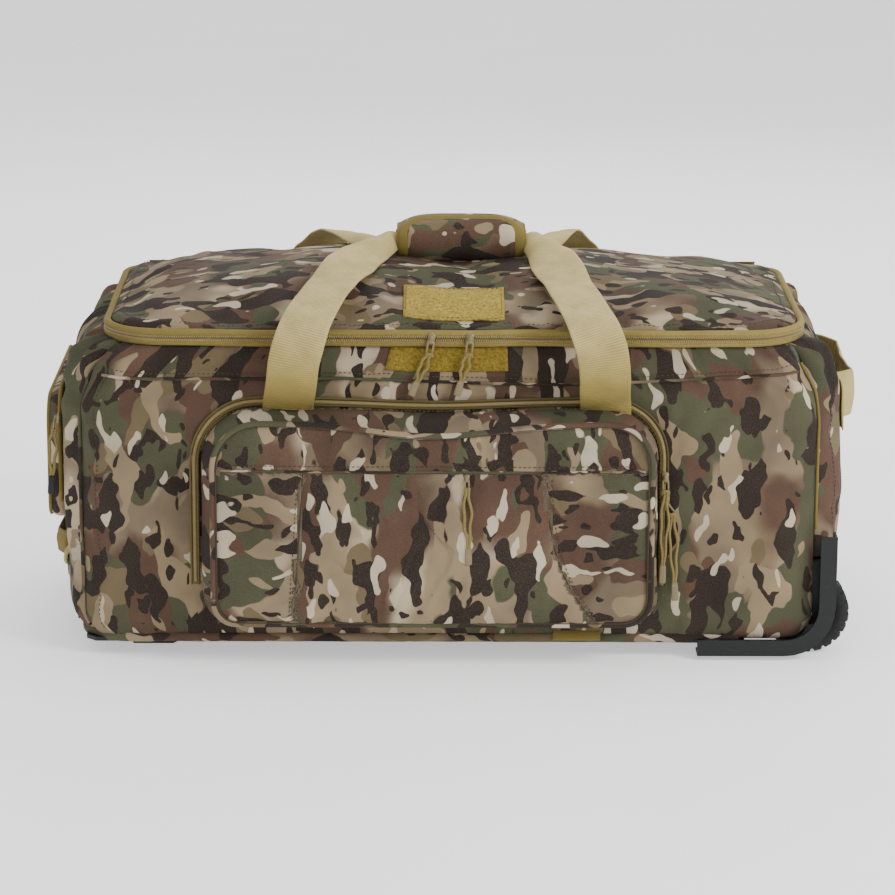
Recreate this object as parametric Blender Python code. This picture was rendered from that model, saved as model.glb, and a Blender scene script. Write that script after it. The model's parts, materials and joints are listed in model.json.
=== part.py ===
"""Rolling duffel bag with a zipped lid, a front pocket, carry handles, wheels and a stored trolley handle.

Metres, +Z up. +X is the wheel end, -Y is the front with the large pocket. The origin is on the floor,
under the middle of the bag.
"""

import math

import bmesh
import bpy
from mathutils import Vector

# Body panels
WALL = 0.005
GAP = 0.0003
CORNER_TRIM = math.radians(0.6)
BASE_BOTTOM = 0.0155
BASE_THICK = 0.004
# height, left, right, front, rear, corner radius, bulge of the ends, bulge of the front and rear
LEVELS = (
    (0.0200, -0.366, 0.372, -0.1600, 0.2000, 0.045, 0.000, 0.0000),
    (0.0380, -0.377, 0.379, -0.1650, 0.2050, 0.045, 0.000, 0.0000),
    (0.1500, -0.380, 0.380, -0.1650, 0.2050, 0.050, 0.003, 0.0005),
    (0.2620, -0.379, 0.380, -0.1650, 0.2050, 0.050, 0.003, 0.0005),
    (0.2900, -0.366, 0.369, -0.1635, 0.2030, 0.052, 0.002, 0.0000),
    (0.3180, -0.338, 0.348, -0.1520, 0.1680, 0.060, 0.000, 0.0000),
)
# Lid and its mouth
MOUTH_LEFT, MOUTH_RIGHT = -0.336, 0.346
MOUTH_FRONT, MOUTH_REAR = -0.150, 0.164
MOUTH_RADIUS = 0.060
WELT_WIDTH = 0.010
WELT_HEIGHT = 0.0072
LID_THICK = 0.005
LID_CROWN = 0.037
LID_CROWN_SLOPE = -0.022
LID_HINGE = (0.0, 0.168, 0.3335)
# Front pocket
POCKET_HINGE = (0.0, -0.1668, 0.0460)
POCKET_FACE_Y = -0.2003
POCKET_FACE_THICK = 0.004
POCKET_WALL = 0.0035
# Carry handles
STRAP_WIDTH = 0.050
STRAP_THICK = 0.0028
FRONT_PIVOT = (0.0, -0.2080, 0.3000)
REAR_PIVOT = (0.0, 0.2115, 0.2620)
# Wheels
WHEEL_RADIUS = 0.042
WHEEL_X = 0.3600
WHEEL_WIDTH = 0.030
WHEEL_YS = {"front": -0.1270, "rear": 0.1670}
AXLE_RADIUS = 0.004
# Trolley
TROLLEY_Z = 0.0385
TROLLEY_YS = (-0.055, 0.095)
OUTER_TUBE, MIDDLE_TUBE, INNER_TUBE = 0.0200, 0.0166, 0.0132
TUBE_WALL = 0.0013
CUP_BACK_X = -0.3250
# Left end pocket
END_POCKET_X = -0.3838

COLOURS = {
    "camo_fabric": ((0.27, 0.24, 0.16), 0.85, 0.0),
    "olive_webbing": ((0.35, 0.30, 0.14), 0.80, 0.0),
    "hook_and_loop": ((0.27, 0.22, 0.08), 0.95, 0.0),
    "black_plastic": ((0.02, 0.02, 0.02), 0.55, 0.0),
    "grey_plastic": ((0.12, 0.12, 0.12), 0.50, 0.0),
    "tyre_rubber": ((0.02, 0.02, 0.02), 0.80, 0.0),
    "aluminium": ((0.60, 0.60, 0.62), 0.35, 1.0),
    "steel": ((0.55, 0.55, 0.56), 0.30, 1.0),
    "slider_metal": ((0.16, 0.14, 0.08), 0.45, 0.6),
    "cord_pull": ((0.34, 0.29, 0.15), 0.75, 0.0),
}


def clear_scene():
    for obj in list(bpy.data.objects):
        bpy.data.objects.remove(obj, do_unlink=True)


def material_for(node, kind):
    colour, roughness, metallic = COLOURS[kind]
    material = bpy.data.materials.new(f"{kind}_{node}")
    material.use_nodes = True
    shader = material.node_tree.nodes["Principled BSDF"]
    shader.inputs["Base Color"].default_value = (*colour, 1.0)
    shader.inputs["Roughness"].default_value = roughness
    shader.inputs["Metallic"].default_value = metallic
    return material


def add_object(name, verts, faces, kind, origin=(0.0, 0.0, 0.0), smooth=True):
    """One node from world points, with its own material and its origin where it turns or slides."""
    centre = Vector(origin)
    mesh = bpy.data.meshes.new(name)
    mesh.from_pydata([tuple(Vector(v) - centre) for v in verts], [], faces)
    shell = bmesh.new()
    shell.from_mesh(mesh)
    bmesh.ops.recalc_face_normals(shell, faces=shell.faces)
    shell.to_mesh(mesh)
    shell.free()
    if smooth:
        mesh.shade_smooth()
        mesh.set_sharp_from_angle(angle=math.radians(35))
    mesh.materials.append(material_for(name, kind))
    obj = bpy.data.objects.new(name, mesh)
    obj.location = centre
    bpy.context.scene.collection.objects.link(obj)
    return obj


def loft(name, rings, kind, origin=(0.0, 0.0, 0.0), capped=True):
    """A body through rings with equal numbers of points. Uncapped, the last ring joins the first."""
    count = len(rings[0])
    verts = [point for ring in rings for point in ring]
    faces = []
    for i in range(len(rings) if not capped else len(rings) - 1):
        low, high = i * count, (i + 1) % len(rings) * count
        for j in range(count):
            k = (j + 1) % count
            faces.append((low + j, low + k, high + k, high + j))
    if capped:
        faces.append(tuple(range(count))[::-1])
        faces.append(tuple(range((len(rings) - 1) * count, len(rings) * count)))
    return add_object(name, verts, faces, kind, origin)


def sheet(name, outer, inner, kind, origin=(0.0, 0.0, 0.0)):
    """A closed skin between two grids of points, such as a fabric panel with its thickness."""
    rows, columns = len(outer), len(outer[0])
    verts = [p for row in outer for p in row] + [p for row in inner for p in row]
    offset = rows * columns
    faces = []
    for i in range(rows - 1):
        for j in range(columns - 1):
            a, b = i * columns + j, i * columns + j + 1
            c, d = (i + 1) * columns + j + 1, (i + 1) * columns + j
            faces.append((a, b, c, d))
            faces.append((a + offset, d + offset, c + offset, b + offset))
    edge = [j for j in range(columns)]
    edge += [i * columns + columns - 1 for i in range(1, rows)]
    edge += [(rows - 1) * columns + j for j in range(columns - 2, -1, -1)]
    edge += [i * columns for i in range(rows - 2, 0, -1)]
    for k, a in enumerate(edge):
        b = edge[(k + 1) % len(edge)]
        faces.append((b, a, a + offset, b + offset))
    return add_object(name, verts, faces, kind, origin)


def rounded(left, right, low, high, radii, steps=4, sag=0.0, across=1):
    """A rounded rectangle as 2-D points, anticlockwise from the lower left corner.

    radii are for the lower left, lower right, upper right and upper left corners. sag lowers the middle
    of the upper edge, which then has across points between its corners.
    """
    centres = (
        (left + radii[0], low + radii[0], 180),
        (right - radii[1], low + radii[1], 270),
        (right - radii[2], high - radii[2], 0),
        (left + radii[3], high - radii[3], 90),
    )
    points = []
    for corner, ((cu, cv, start), radius) in enumerate(zip(centres, radii)):
        for i in range(steps + 1):
            angle = math.radians(start + 90 * i / steps)
            points.append((cu + radius * math.cos(angle), cv + radius * math.sin(angle)))
        if corner == 2 and sag:
            first, last = right - radii[2], left + radii[3]
            for i in range(1, across + 1):
                t = i / (across + 1)
                drop = sag * math.sin(math.pi * t)
                points.append((first + (last - first) * t, high - drop))
    return points


def prism(name, outline, axis, start, stop, kind, origin=(0.0, 0.0, 0.0)):
    """A 2-D outline carried from start to stop along an axis. The outline is in the other two axes."""

    def placed(point, along):
        values = list(point)
        values.insert("xyz".index(axis), along)
        return tuple(values)

    rings = [[placed(p, value) for p in outline] for value in (start, stop)]
    return loft(name, rings, kind, origin)


def block(name, low, high, kind, origin=None, edge=0.0):
    """A box with rounded edges."""
    middle = [(a + b) / 2 for a, b in zip(low, high)]
    corners = [(x, y, z) for x in (low[0], high[0]) for y in (low[1], high[1]) for z in (low[2], high[2])]
    faces = [(0, 1, 3, 2), (4, 6, 7, 5), (0, 4, 5, 1), (2, 3, 7, 6), (0, 2, 6, 4), (1, 5, 7, 3)]
    obj = add_object(name, corners, faces, kind, origin or middle)
    if edge:
        bevel = obj.modifiers.new("edges", "BEVEL")
        bevel.width = edge
        bevel.segments = 2
    return obj


def combine(obj, other, operation):
    """Joins other to obj, or cuts it out. The helper stays out of the model."""
    other.hide_render = True
    other.display_type = "WIRE"
    boolean = obj.modifiers.new(operation.lower(), "BOOLEAN")
    boolean.operation = operation
    boolean.object = other
    boolean.solver = "EXACT"


def cutter(name, low, high):
    return block(f"cut_{name}", low, high, "black_plastic")


def turned(name, profile, centre, kind, steps=28):
    """A ring or disc about the Y axis through centre. profile is a closed loop of (radius, y)."""
    rings = []
    for i in range(steps):
        angle = 2 * math.pi * i / steps
        rings.append(
            [
                (centre[0] + r * math.cos(angle), centre[1] + y, centre[2] + r * math.sin(angle))
                for r, y in profile
            ]
        )
    return loft(name, rings, kind, centre, capped=False)


def rod(name, start, stop, radius, kind, steps=16):
    """A round bar along Y."""
    rings = []
    for y in (start[1], stop[1]):
        rings.append(
            [
                (
                    start[0] + radius * math.cos(2 * math.pi * i / steps),
                    y,
                    start[2] + radius * math.sin(2 * math.pi * i / steps),
                )
                for i in range(steps)
            ]
        )
    return loft(name, rings, kind)


def ribbon(name, path, normals, widths, thick, kind, origin):
    """Flat webbing along a path. normals say which way its face looks at each point."""
    rings = []
    points = [Vector(p) for p in path]
    for i, point in enumerate(points):
        ahead = points[min(i + 1, len(points) - 1)] - points[max(i - 1, 0)]
        side = ahead.cross(Vector(normals[i])).normalized()
        out = side.cross(ahead).normalized()
        half = widths[i] / 2
        rings.append(
            [
                point + side * half + out * thick / 2,
                point - side * half + out * thick / 2,
                point - side * half - out * thick / 2,
                point + side * half - out * thick / 2,
            ]
        )
    return loft(name, rings, kind, origin)


def offset_path(points, distance):
    """2-D points moved sideways, to the right of the direction of travel."""
    moved = []
    for i, (u, v) in enumerate(points):
        before, after = points[max(i - 1, 0)], points[min(i + 1, len(points) - 1)]
        du, dv = after[0] - before[0], after[1] - before[1]
        length = math.hypot(du, dv)
        moved.append((u + dv / length * distance, v - du / length * distance))
    return moved


def strip(name, path, half_width, start, stop, axis, kind, origin=(0.0, 0.0, 0.0)):
    """A band that follows an open 2-D path, half_width to each side, from start to stop along an axis."""
    right = offset_path(path, half_width)
    left = offset_path(path, -half_width)
    return prism(name, right + left[::-1], axis, start, stop, kind, origin)


# ---------------------------------------------------------------- body panels


def wall_run(level, inset, side, spans=4, steps=3):
    """One side of the wall's outline at a level, from the middle of one corner to the middle of the next."""
    height, left, right, front, rear, radius, end_bulge, side_bulge = level
    radius -= inset
    left, right, front, rear = left + inset, right - inset, front + inset, rear - inset
    corners = (
        (left + radius, front + radius),
        (right - radius, front + radius),
        (right - radius, rear - radius),
        (left + radius, rear - radius),
    )
    first, second = corners[side], corners[(side + 1) % 4]
    outward = math.radians(270 + 90 * side)
    bulge = side_bulge if side in (0, 2) else end_bulge
    points = []
    for i in range(steps + 1):
        angle = outward - (math.pi / 4 - CORNER_TRIM) * (1 - i / steps)
        points.append((first[0] + radius * math.cos(angle), first[1] + radius * math.sin(angle), height))
    for i in range(1, spans):
        t = i / spans
        out = radius + bulge * math.sin(math.pi * t)
        u = first[0] + (second[0] - first[0]) * t + out * math.cos(outward)
        v = first[1] + (second[1] - first[1]) * t + out * math.sin(outward)
        points.append((u, v, height))
    for i in range(steps + 1):
        angle = outward + (math.pi / 4 - CORNER_TRIM) * i / steps
        points.append((second[0] + radius * math.cos(angle), second[1] + radius * math.sin(angle), height))
    return points


def wall_panel(name, side):
    outer = [wall_run(level, 0.0, side) for level in LEVELS]
    inner = [wall_run(level, WALL, side) for level in LEVELS]
    return sheet(name, outer, inner, "camo_fabric")


def make_walls():
    wall_panel("front_panel", 0)
    right = wall_panel("wheel_end_panel", 1)
    wall_panel("rear_panel", 2)
    left = wall_panel("trolley_end_panel", 3)
    combine(right, cutter("wheel_end", (0.30, -0.1590, 0.0), (0.42, 0.1990, 0.1005)), "DIFFERENCE")
    combine(left, cutter("trolley_end", (-0.42, -0.0990, 0.0), (-0.30, 0.1390, 0.0590)), "DIFFERENCE")


def make_base():
    """Bottom panel with notches for the wheels, the plate between them, and the floor over the trolley."""
    top = BASE_BOTTOM + BASE_THICK
    notch_x, front, rear = 0.2960, -0.0965, 0.1365
    outline = [(-0.352, -0.156), (notch_x, -0.156), (notch_x, 0.196), (-0.352, 0.196)]
    outline += [(-0.362, 0.186), (-0.362, -0.146)]
    prism("base_panel", outline, "z", BASE_BOTTOM, top, "black_plastic")
    profile = [(notch_x + GAP, BASE_BOTTOM), (0.366, BASE_BOTTOM), (0.3795, 0.028), (0.3795, 0.0995)]
    profile += [(0.3755, 0.0995), (0.3755, 0.030), (0.364, 0.0195), (notch_x + GAP, 0.0195)]
    outline = [(x, z) for x, z in profile]
    verts = [[(x, y, z) for x, z in outline] for y in (front, rear)]
    loft("kick_plate", verts, "black_plastic")
    block("false_floor", (-0.3180, -0.150, 0.0600), (0.2900, 0.190, 0.0640), "black_plastic", edge=0.001)


def mouth_path(offset=0.0, steps=6):
    """The U that the lid's zip follows: from the rear left, round the front, to the rear right."""
    left, right = MOUTH_LEFT - offset, MOUTH_RIGHT + offset
    front = MOUTH_FRONT - offset
    radius = MOUTH_RADIUS + offset
    points = [(left, MOUTH_REAR - 0.004), (left, 0.0)]
    for start, cx in ((180, left + radius), (270, right - radius)):
        for i in range(steps + 1):
            angle = math.radians(start + 90 * i / steps)
            points.append((cx + radius * math.cos(angle), front + radius + radius * math.sin(angle)))
        if start == 180:
            points += [(-0.1, front), (0.1, front)]
    points += [(right, 0.0), (right, MOUTH_REAR - 0.004)]
    return points


def make_mouth():
    """Welts with the zip's two halves: the lower one on the body, the upper one on the lid."""
    low = LEVELS[-1][0] + GAP
    half = WELT_WIDTH / 2
    strip("body_zip_welt", mouth_path(), half, low, low + WELT_HEIGHT, "z", "olive_webbing")
    upper = low + WELT_HEIGHT + GAP
    strip("lid_zip_welt", mouth_path(), half, upper, upper + WELT_HEIGHT, "z", "olive_webbing", LID_HINGE)


def lid_rings(drop):
    """The crowned lid as rings from its edge to its middle. drop moves the rings down and in."""
    base = LEVELS[-1][0] + 3 * GAP + 2 * WELT_HEIGHT
    left, right, front, rear = MOUTH_LEFT, MOUTH_RIGHT, MOUTH_FRONT, MOUTH_REAR
    radii = (MOUTH_RADIUS, MOUTH_RADIUS, 0.030, 0.030)
    outline = rounded(left, right, front, rear, radii, 5, sag=0.0001, across=3)
    middle = ((left + right) / 2, (front + rear) / 2)
    rings = []
    for share in (1.0, 0.975, 0.92, 0.82, 0.66, 0.42, 0.12):
        ring = []
        for x, y in outline:
            x = middle[0] + (x - middle[0]) * (share - drop)
            y = middle[1] + (y - middle[1]) * (share - drop * 2)
            crown = (LID_CROWN + LID_CROWN_SLOPE * x) * (1 - share**2.6)
            ring.append((x, y, max(base, base + crown - drop * LID_THICK / 0.012)))
        rings.append(ring)
    return rings


def make_lid():
    top = lid_rings(0.0)
    under = lid_rings(0.012)
    loft("lid_panel", under[::-1] + top, "camo_fabric", LID_HINGE, capped=True)
    crown = LID_HINGE[2] + 0.020
    rings = []
    for x in (-0.046, 0.054):
        front_row = [(x, -0.139, crown), (x, -0.113, crown + 0.0107), (x, -0.085, crown + 0.0178)]
        rings.append(front_row + [(x, y, z + 0.0022) for x, y, z in front_row[::-1]])
    loft("lid_loop_patch", rings, "hook_and_loop", LID_HINGE)


def make_shoulder_strip():
    """Hook strip on the sloping shoulder under the zip."""
    rings = []
    for x in (-0.070, 0.058):
        rings.append(
            [
                (x, -0.16455, 0.2910),
                (x, -0.15445, 0.3155),
                (x, -0.15660, 0.3164),
                (x, -0.16670, 0.2919),
            ]
        )
    loft("front_hook_strip", rings, "hook_and_loop")


# ---------------------------------------------------------------- front pocket


def pocket_outlines():
    """The pocket's outline against the body, and the smaller one round its face, in x and z."""
    low = POCKET_HINGE[2]
    back = rounded(-0.245, 0.205, low, 0.2580, (0.020, 0.020, 0.050, 0.055), 4, sag=0.003, across=5)
    face = rounded(-0.232, 0.200, low, 0.2420, (0.020, 0.020, 0.042, 0.045), 4, sag=0.006, across=5)
    return back, face


def inset(outline, distance):
    """A closed 2-D outline, anticlockwise, moved in by distance."""
    closed = [outline[-1]] + outline + [outline[0]]
    return offset_path(closed, -distance)[1:-1]


def tray_ring(name, back, face, depths, wall, place, kind, origin):
    """The gusset of a pocket: a wall from the outline at the body to the outline of the face."""
    near, far = depths
    rings = [
        [place(p, near) for p in back],
        [place(p, far) for p in face],
        [place(p, far) for p in inset(face, wall)],
        [place(p, near) for p in inset(back, wall)],
    ]
    return loft(name, rings, kind, origin, capped=False)


def on_front(point, depth):
    return (point[0], depth, point[1])


def make_front_pocket():
    back, face = pocket_outlines()
    tray_ring(
        "pocket_gusset",
        back,
        face,
        (POCKET_HINGE[1], POCKET_FACE_Y + GAP),
        POCKET_WALL,
        on_front,
        "camo_fabric",
        POCKET_HINGE,
    )
    front = POCKET_FACE_Y - POCKET_FACE_THICK
    prism("pocket_face", face, "y", front, POCKET_FACE_Y, "camo_fabric", POCKET_HINGE)
    path = offset_path(back[9:], 0.0060)
    track = [(path[0][0], 0.058)] + path + [(path[-1][0], 0.058)]
    strip("pocket_zip_track", track, 0.0045, -0.1687, -0.1668, "y", "olive_webbing")


# ---------------------------------------------------------------- zip sliders and pulls


def slider(name, centre, size):
    low = [c - s / 2 for c, s in zip(centre, size)]
    high = [c + s / 2 for c, s in zip(centre, size)]
    return block(name, low, high, "slider_metal", centre, edge=0.0010)


def pull(name, top, bottom, width=0.0056, tip_width=0.0078, tip=0.017):
    """A cord loop and its moulded tip as one slim body, hung from its top."""
    top, bottom = Vector(top), Vector(bottom)
    down = (bottom - top).normalized()
    side = Vector((1.0, 0.0, 0.0))
    out = down.cross(side).normalized()
    side = out.cross(down).normalized()
    length = (bottom - top).length
    stations = (
        (0.0, width * 0.7, 0.0022),
        (0.004, width, 0.0028),
        (length - tip - 0.003, width, 0.0030),
        (length - tip, tip_width, 0.0046),
        (length - 0.003, tip_width, 0.0046),
        (length, tip_width * 0.7, 0.0028),
    )
    rings = []
    for along, wide, deep in stations:
        centre = top + down * along
        ring = []
        for i in range(8):
            angle = math.pi / 8 + i * math.pi / 4
            across = side * (math.cos(angle) * wide / 2 / math.cos(math.pi / 8))
            ring.append(centre + across + out * (math.sin(angle) * deep / 2 / math.cos(math.pi / 8)))
        rings.append(ring)
    return loft(name, rings, "cord_pull", top)


def make_zip_pulls():
    zip_z = LEVELS[-1][0] + 2 * GAP + WELT_HEIGHT
    front = MOUTH_FRONT - WELT_WIDTH / 2
    for side, x, lean in (("left", -0.018, -0.018), ("right", 0.020, -0.014)):
        slider(f"main_slider_{side}", (x, front - 0.0033, zip_z), (0.011, 0.0060, 0.012))
        pull(f"main_pull_{side}", (x, front - 0.0105, zip_z - 0.002), (x + lean, -0.1730, 0.2740))
    face = -0.1687
    for name, x, z, low in (("upper", 0.2135, 0.1900, 0.0850), ("lower", 0.2228, 0.1640, 0.0660)):
        slider(f"pocket_slider_{name}", (0.2125, face - 0.0035, z), (0.009, 0.0060, 0.012))
        pull(f"pocket_pull_{name}", (x, face - 0.0085, z + 0.001), (x, face - 0.0085, low))
    cover = POCKET_FACE_Y - POCKET_FACE_THICK - 0.0027
    slider("sub_pocket_slider", (0.017, cover - 0.0022, 0.1985), (0.010, 0.0036, 0.009))
    pull("sub_pocket_pull", (0.017, cover - 0.0064, 0.1985), (0.019, cover - 0.0064, 0.1120))
    slider("end_pocket_slider", (-0.3873, -0.1290, 0.2380), (0.0050, 0.009, 0.012))
    pull("end_pocket_pull", (-0.3925, -0.1290, 0.2380), (-0.3955, -0.1290, 0.1600), tip=0.020)


# ---------------------------------------------------------------- carry handles and wrap

RISER_YZ = ((-0.1735, 0.2600), (-0.1800, 0.2690), (-0.1912, 0.2810), (-0.2035, 0.2950))
RISER_X = {"left": (-0.158, -0.157, -0.155, -0.153), "right": (0.153, 0.152, 0.151, 0.1505)}
STRAP_YZ = (
    FRONT_PIVOT[1:],
    (-0.2100, 0.3250),
    (-0.1980, 0.3500),
    (-0.1650, 0.3640),
    (-0.1150, 0.3750),
    (-0.0780, 0.3820),
    (-0.0420, 0.3880),
    (-0.0120, 0.3960),
    (0.0120, 0.4000),
)
STRAP_X = {
    "left": (-0.1525, -0.148, -0.140, -0.130, -0.115, -0.102, -0.088, -0.072, -0.055),
    "right": (0.1500, 0.147, 0.138, 0.128, 0.116, 0.108, 0.101, 0.093, 0.080),
}
REAR_X = {
    "left": (-0.158, -0.155, -0.150, -0.141, -0.128, -0.115, -0.102, -0.088, -0.072, -0.055),
    "right": (0.153, 0.151, 0.148, 0.139, 0.126, 0.116, 0.108, 0.101, 0.093, 0.080),
}
REAR_YZ = (
    REAR_PIVOT[1:],
    (0.2133, 0.2850),
    (0.2120, 0.3150),
    (0.2040, 0.3400),
    (0.1800, 0.3600),
    (0.1450, 0.3720),
    (0.1100, 0.3790),
    (0.0750, 0.3840),
    (0.0450, 0.3860),
    (0.0180, 0.3865),
)
WRAP_SPAN = (-0.0500, 0.0750)
CORE_WIDTH = 0.020


def strap(name, xs, route, facing, core_end, origin):
    """A handle's webbing: full width over the lid, folded narrow where it enters the wrap."""
    path = [(x, y, z) for x, (y, z) in zip(xs, route)]
    end_y, end_z = route[-1]
    path.append((core_end, end_y, end_z))
    turn = (0.0, 0.05, 0.3, 0.55, 0.8, 0.92, 0.97, 1.0, 1.0, 1.0, 1.0)
    normals = [(0.0, -facing * (1 - t), t + 0.02) for t in turn]
    widths = [STRAP_WIDTH] * 7 + [0.046, 0.034, CORE_WIDTH, CORE_WIDTH]
    count = len(path)
    return ribbon(
        name, path, normals[-count:], widths[-count:], STRAP_THICK, "olive_webbing", origin
    )


def riser(side):
    """The lower webbing, sewn down behind the pocket and standing off the body to just short of the pivot."""
    path = [(x, y, z) for x, (y, z) in zip(RISER_X[side], RISER_YZ)]
    normals = [(0.0, -1.0, 0.0)]
    for (near_y, near_z), (far_y, far_z) in zip(RISER_YZ, RISER_YZ[1:]):
        normals.append((0.0, near_z - far_z, far_y - near_y))
    widths = [STRAP_WIDTH] * len(path)
    ribbon(f"front_riser_{side}", path, normals, widths, STRAP_THICK, "olive_webbing", path[0])


def make_handles():
    middle = sum(WRAP_SPAN) / 2
    for side, sign in (("left", -1), ("right", 1)):
        stop = middle + sign * GAP
        strap(f"front_strap_{side}", STRAP_X[side], STRAP_YZ, 1, stop, FRONT_PIVOT)
        strap(f"rear_strap_{side}", REAR_X[side], REAR_YZ, -1, stop, REAR_PIVOT)
        riser(side)
    centre_y, centre_z = 0.0140, 0.3945
    outer, inner = [], []
    start, stop = -8, 258
    steps = 14
    for i in range(steps + 1):
        angle = math.radians(start + (stop - start) * i / steps)
        c, s = math.cos(angle), math.sin(angle)
        outer.append((centre_y + 0.0235 * c, centre_z + 0.0205 * s))
        inner.append((centre_y + 0.0195 * c, centre_z + 0.0165 * s))
    section = outer + inner[::-1]
    prism("handle_wrap", section, "x", WRAP_SPAN[0], WRAP_SPAN[1], "camo_fabric", FRONT_PIVOT)


def grab_handle(name, side, z, width, far_x, near_x, span):
    """Webbing that bows off an end panel, between two points along Y."""
    start, stop = span
    path, normals = [], []
    steps = 8
    for i in range(steps + 1):
        t = i / steps
        out = min(1.0, 2.1 * math.sin(math.pi * t)) ** 0.6
        path.append((near_x + (far_x - near_x) * out, start + (stop - start) * t, z))
        normals.append((side, 0.0, 0.0))
    ribbon(name, path, normals, [width] * len(path), 0.0026, "olive_webbing", (near_x, 0.02, z))


def make_grab_handles():
    grab_handle("wheel_end_handle", 1.0, 0.2450, 0.0420, 0.4017, 0.3880, (-0.070, 0.110))
    grab_handle("trolley_end_handle", -1.0, 0.0900, 0.0240, -0.4010, -0.3870, (-0.060, 0.100))


# ---------------------------------------------------------------- left end pocket


def on_left_end(point, depth):
    return (depth, -point[0], point[1])


def make_end_pocket():
    """A flat zipped pocket on the end panel. Its outline runs in -y and z, so that it turns outwards."""
    back = rounded(-0.150, 0.116, 0.1300, 0.2580, (0.012, 0.012, 0.030, 0.030), 3)
    face = rounded(-0.148, 0.114, 0.1300, 0.2550, (0.012, 0.012, 0.028, 0.028), 3)
    hinge = (END_POCKET_X, 0.0, 0.1300)
    far = -0.4030
    rings = [
        [on_left_end(p, far + 0.003) for p in inset(face, 0.003)],
        [on_left_end(p, END_POCKET_X) for p in inset(back, 0.003)],
        [on_left_end(p, END_POCKET_X) for p in back],
        [on_left_end(p, far) for p in face],
    ]
    loft("end_pocket", rings, "camo_fabric", hinge)


# ---------------------------------------------------------------- wheels, guards and feet


def cheeks(y):
    """How far a housing reaches from the wheel's middle, towards the outside and towards the inside."""
    outward = -1 if y < 0 else 1
    return outward * 0.0195, -outward * 0.0285


def make_wheel(side, y):
    centre = (WHEEL_X, y, WHEEL_RADIUS)
    half = WHEEL_WIDTH / 2
    tyre = [
        (0.0285, -half + 0.002),
        (0.0380, -half),
        (0.0412, -half + 0.003),
        (WHEEL_RADIUS, -0.004),
        (WHEEL_RADIUS, 0.004),
        (0.0412, half - 0.003),
        (0.0380, half),
        (0.0285, half - 0.002),
    ]
    turned(f"wheel_tyre_{side}", tyre, centre, "tyre_rubber", 32)
    hub = [(0.0113, -0.012), (0.0170, -0.012), (0.0180, -0.006), (0.0282, -0.012)]
    hub += [(0.0282, 0.012), (0.0180, 0.006), (0.0170, 0.012), (0.0113, 0.012)]
    turned(f"wheel_hub_{side}", hub, centre, "grey_plastic", 28)
    bearing = [(0.0044, -0.0115), (0.0110, -0.0115), (0.0110, 0.0115), (0.0044, 0.0115)]
    turned(f"wheel_bearing_{side}", bearing, centre, "steel", 20)
    ends = sorted(y + 0.97 * reach for reach in cheeks(y))
    rod(
        f"axle_{side}",
        (WHEEL_X, ends[0], WHEEL_RADIUS),
        (WHEEL_X, ends[1], WHEEL_RADIUS),
        AXLE_RADIUS,
        "steel",
    )


def make_wheel_housing(side, y):
    """A moulded well, open below and at the end, whose cheeks carry the axle."""
    outer, inner = cheeks(y)
    low = (0.2965, min(y + outer, y + inner), 0.0310)
    high = (0.3750, max(y + outer, y + inner), 0.0990)
    housing = block(f"wheel_housing_{side}", low, high, "black_plastic", edge=0.0015)
    well_low = (0.3115, y - WHEEL_WIDTH / 2 - 0.002, -0.02)
    well_high = (0.42, y + WHEEL_WIDTH / 2 + 0.002, 0.0905)
    combine(housing, cutter(f"well_{side}", well_low, well_high), "DIFFERENCE")
    hole = rod(
        f"cut_axle_{side}",
        (WHEEL_X, y - 0.05, WHEEL_RADIUS),
        (WHEEL_X, y + 0.05, WHEEL_RADIUS),
        AXLE_RADIUS + GAP,
        "steel",
    )
    combine(housing, hole, "DIFFERENCE")


def make_guard(name, face_y, outward):
    """An L of black plastic round the lower corner: a flat leg on the face and a rim turned inwards."""
    bottom, end, radius = 0.0050, 0.3850, 0.050
    path = [(0.2480, bottom), (0.2900, bottom), (end - radius, bottom)]
    for i in range(1, 8):
        angle = math.radians(270 + 90 * i / 8)
        path.append((end - radius + radius * math.cos(angle), bottom + radius + radius * math.sin(angle)))
    path += [(end, bottom + radius), (end, 0.0950), (end, 0.1280)]
    leg, rim, thick, depth = 0.0165, 0.0180, 0.0025, 0.0035
    out, face = face_y + outward * 0.0003, face_y + outward * (depth + 0.0003)
    rings = []
    for i, (x, z) in enumerate(path):
        before, after = path[max(i - 1, 0)], path[min(i + 1, len(path) - 1)]
        length = math.hypot(after[0] - before[0], after[1] - before[1])
        nx, nz = -(after[1] - before[1]) / length, (after[0] - before[0]) / length
        back = face_y - outward * rim
        section = ((0.0, face), (0.0, back), (thick, back), (thick, out), (leg, out), (leg, face))
        rings.append([(x + nx * n, y, z + nz * n) for n, y in section])
    loft(name, rings, "black_plastic")


def make_skid(name, y):
    """A rail under the base with a foot at the end away from the wheels."""
    top = BASE_BOTTOM - GAP
    profile = [(-0.325, top), (-0.318, 0.0), (-0.278, 0.0), (-0.262, 0.0070), (0.215, 0.0070), (0.226, top)]
    rings = [[(x, across, z) for x, z in profile] for across in (y - 0.010, y + 0.010)]
    loft(name, rings, "black_plastic")


def make_running_gear():
    for side, y in WHEEL_YS.items():
        make_wheel(side, y)
        make_wheel_housing(side, y)
    make_guard("corner_guard_front", -0.1655, -1)
    make_guard("corner_guard_rear", 0.2055, 1)
    make_skid("skid_front", -0.105)
    make_skid("skid_rear", 0.145)


# ---------------------------------------------------------------- trolley


def square_tube(name, start, stop, y, size, kind, origin):
    """A square tube along X, open at both ends."""
    half, inner = size / 2, size / 2 - TUBE_WALL
    rings = []
    for x, h in ((start, half), (stop, half), (stop, inner), (start, inner)):
        square = rounded(y - h, y + h, TROLLEY_Z - h, TROLLEY_Z + h, (h * 0.25,) * 4, 2)
        rings.append([(x, u, v) for u, v in square])
    return loft(name, rings, kind, origin, capped=False)


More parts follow.
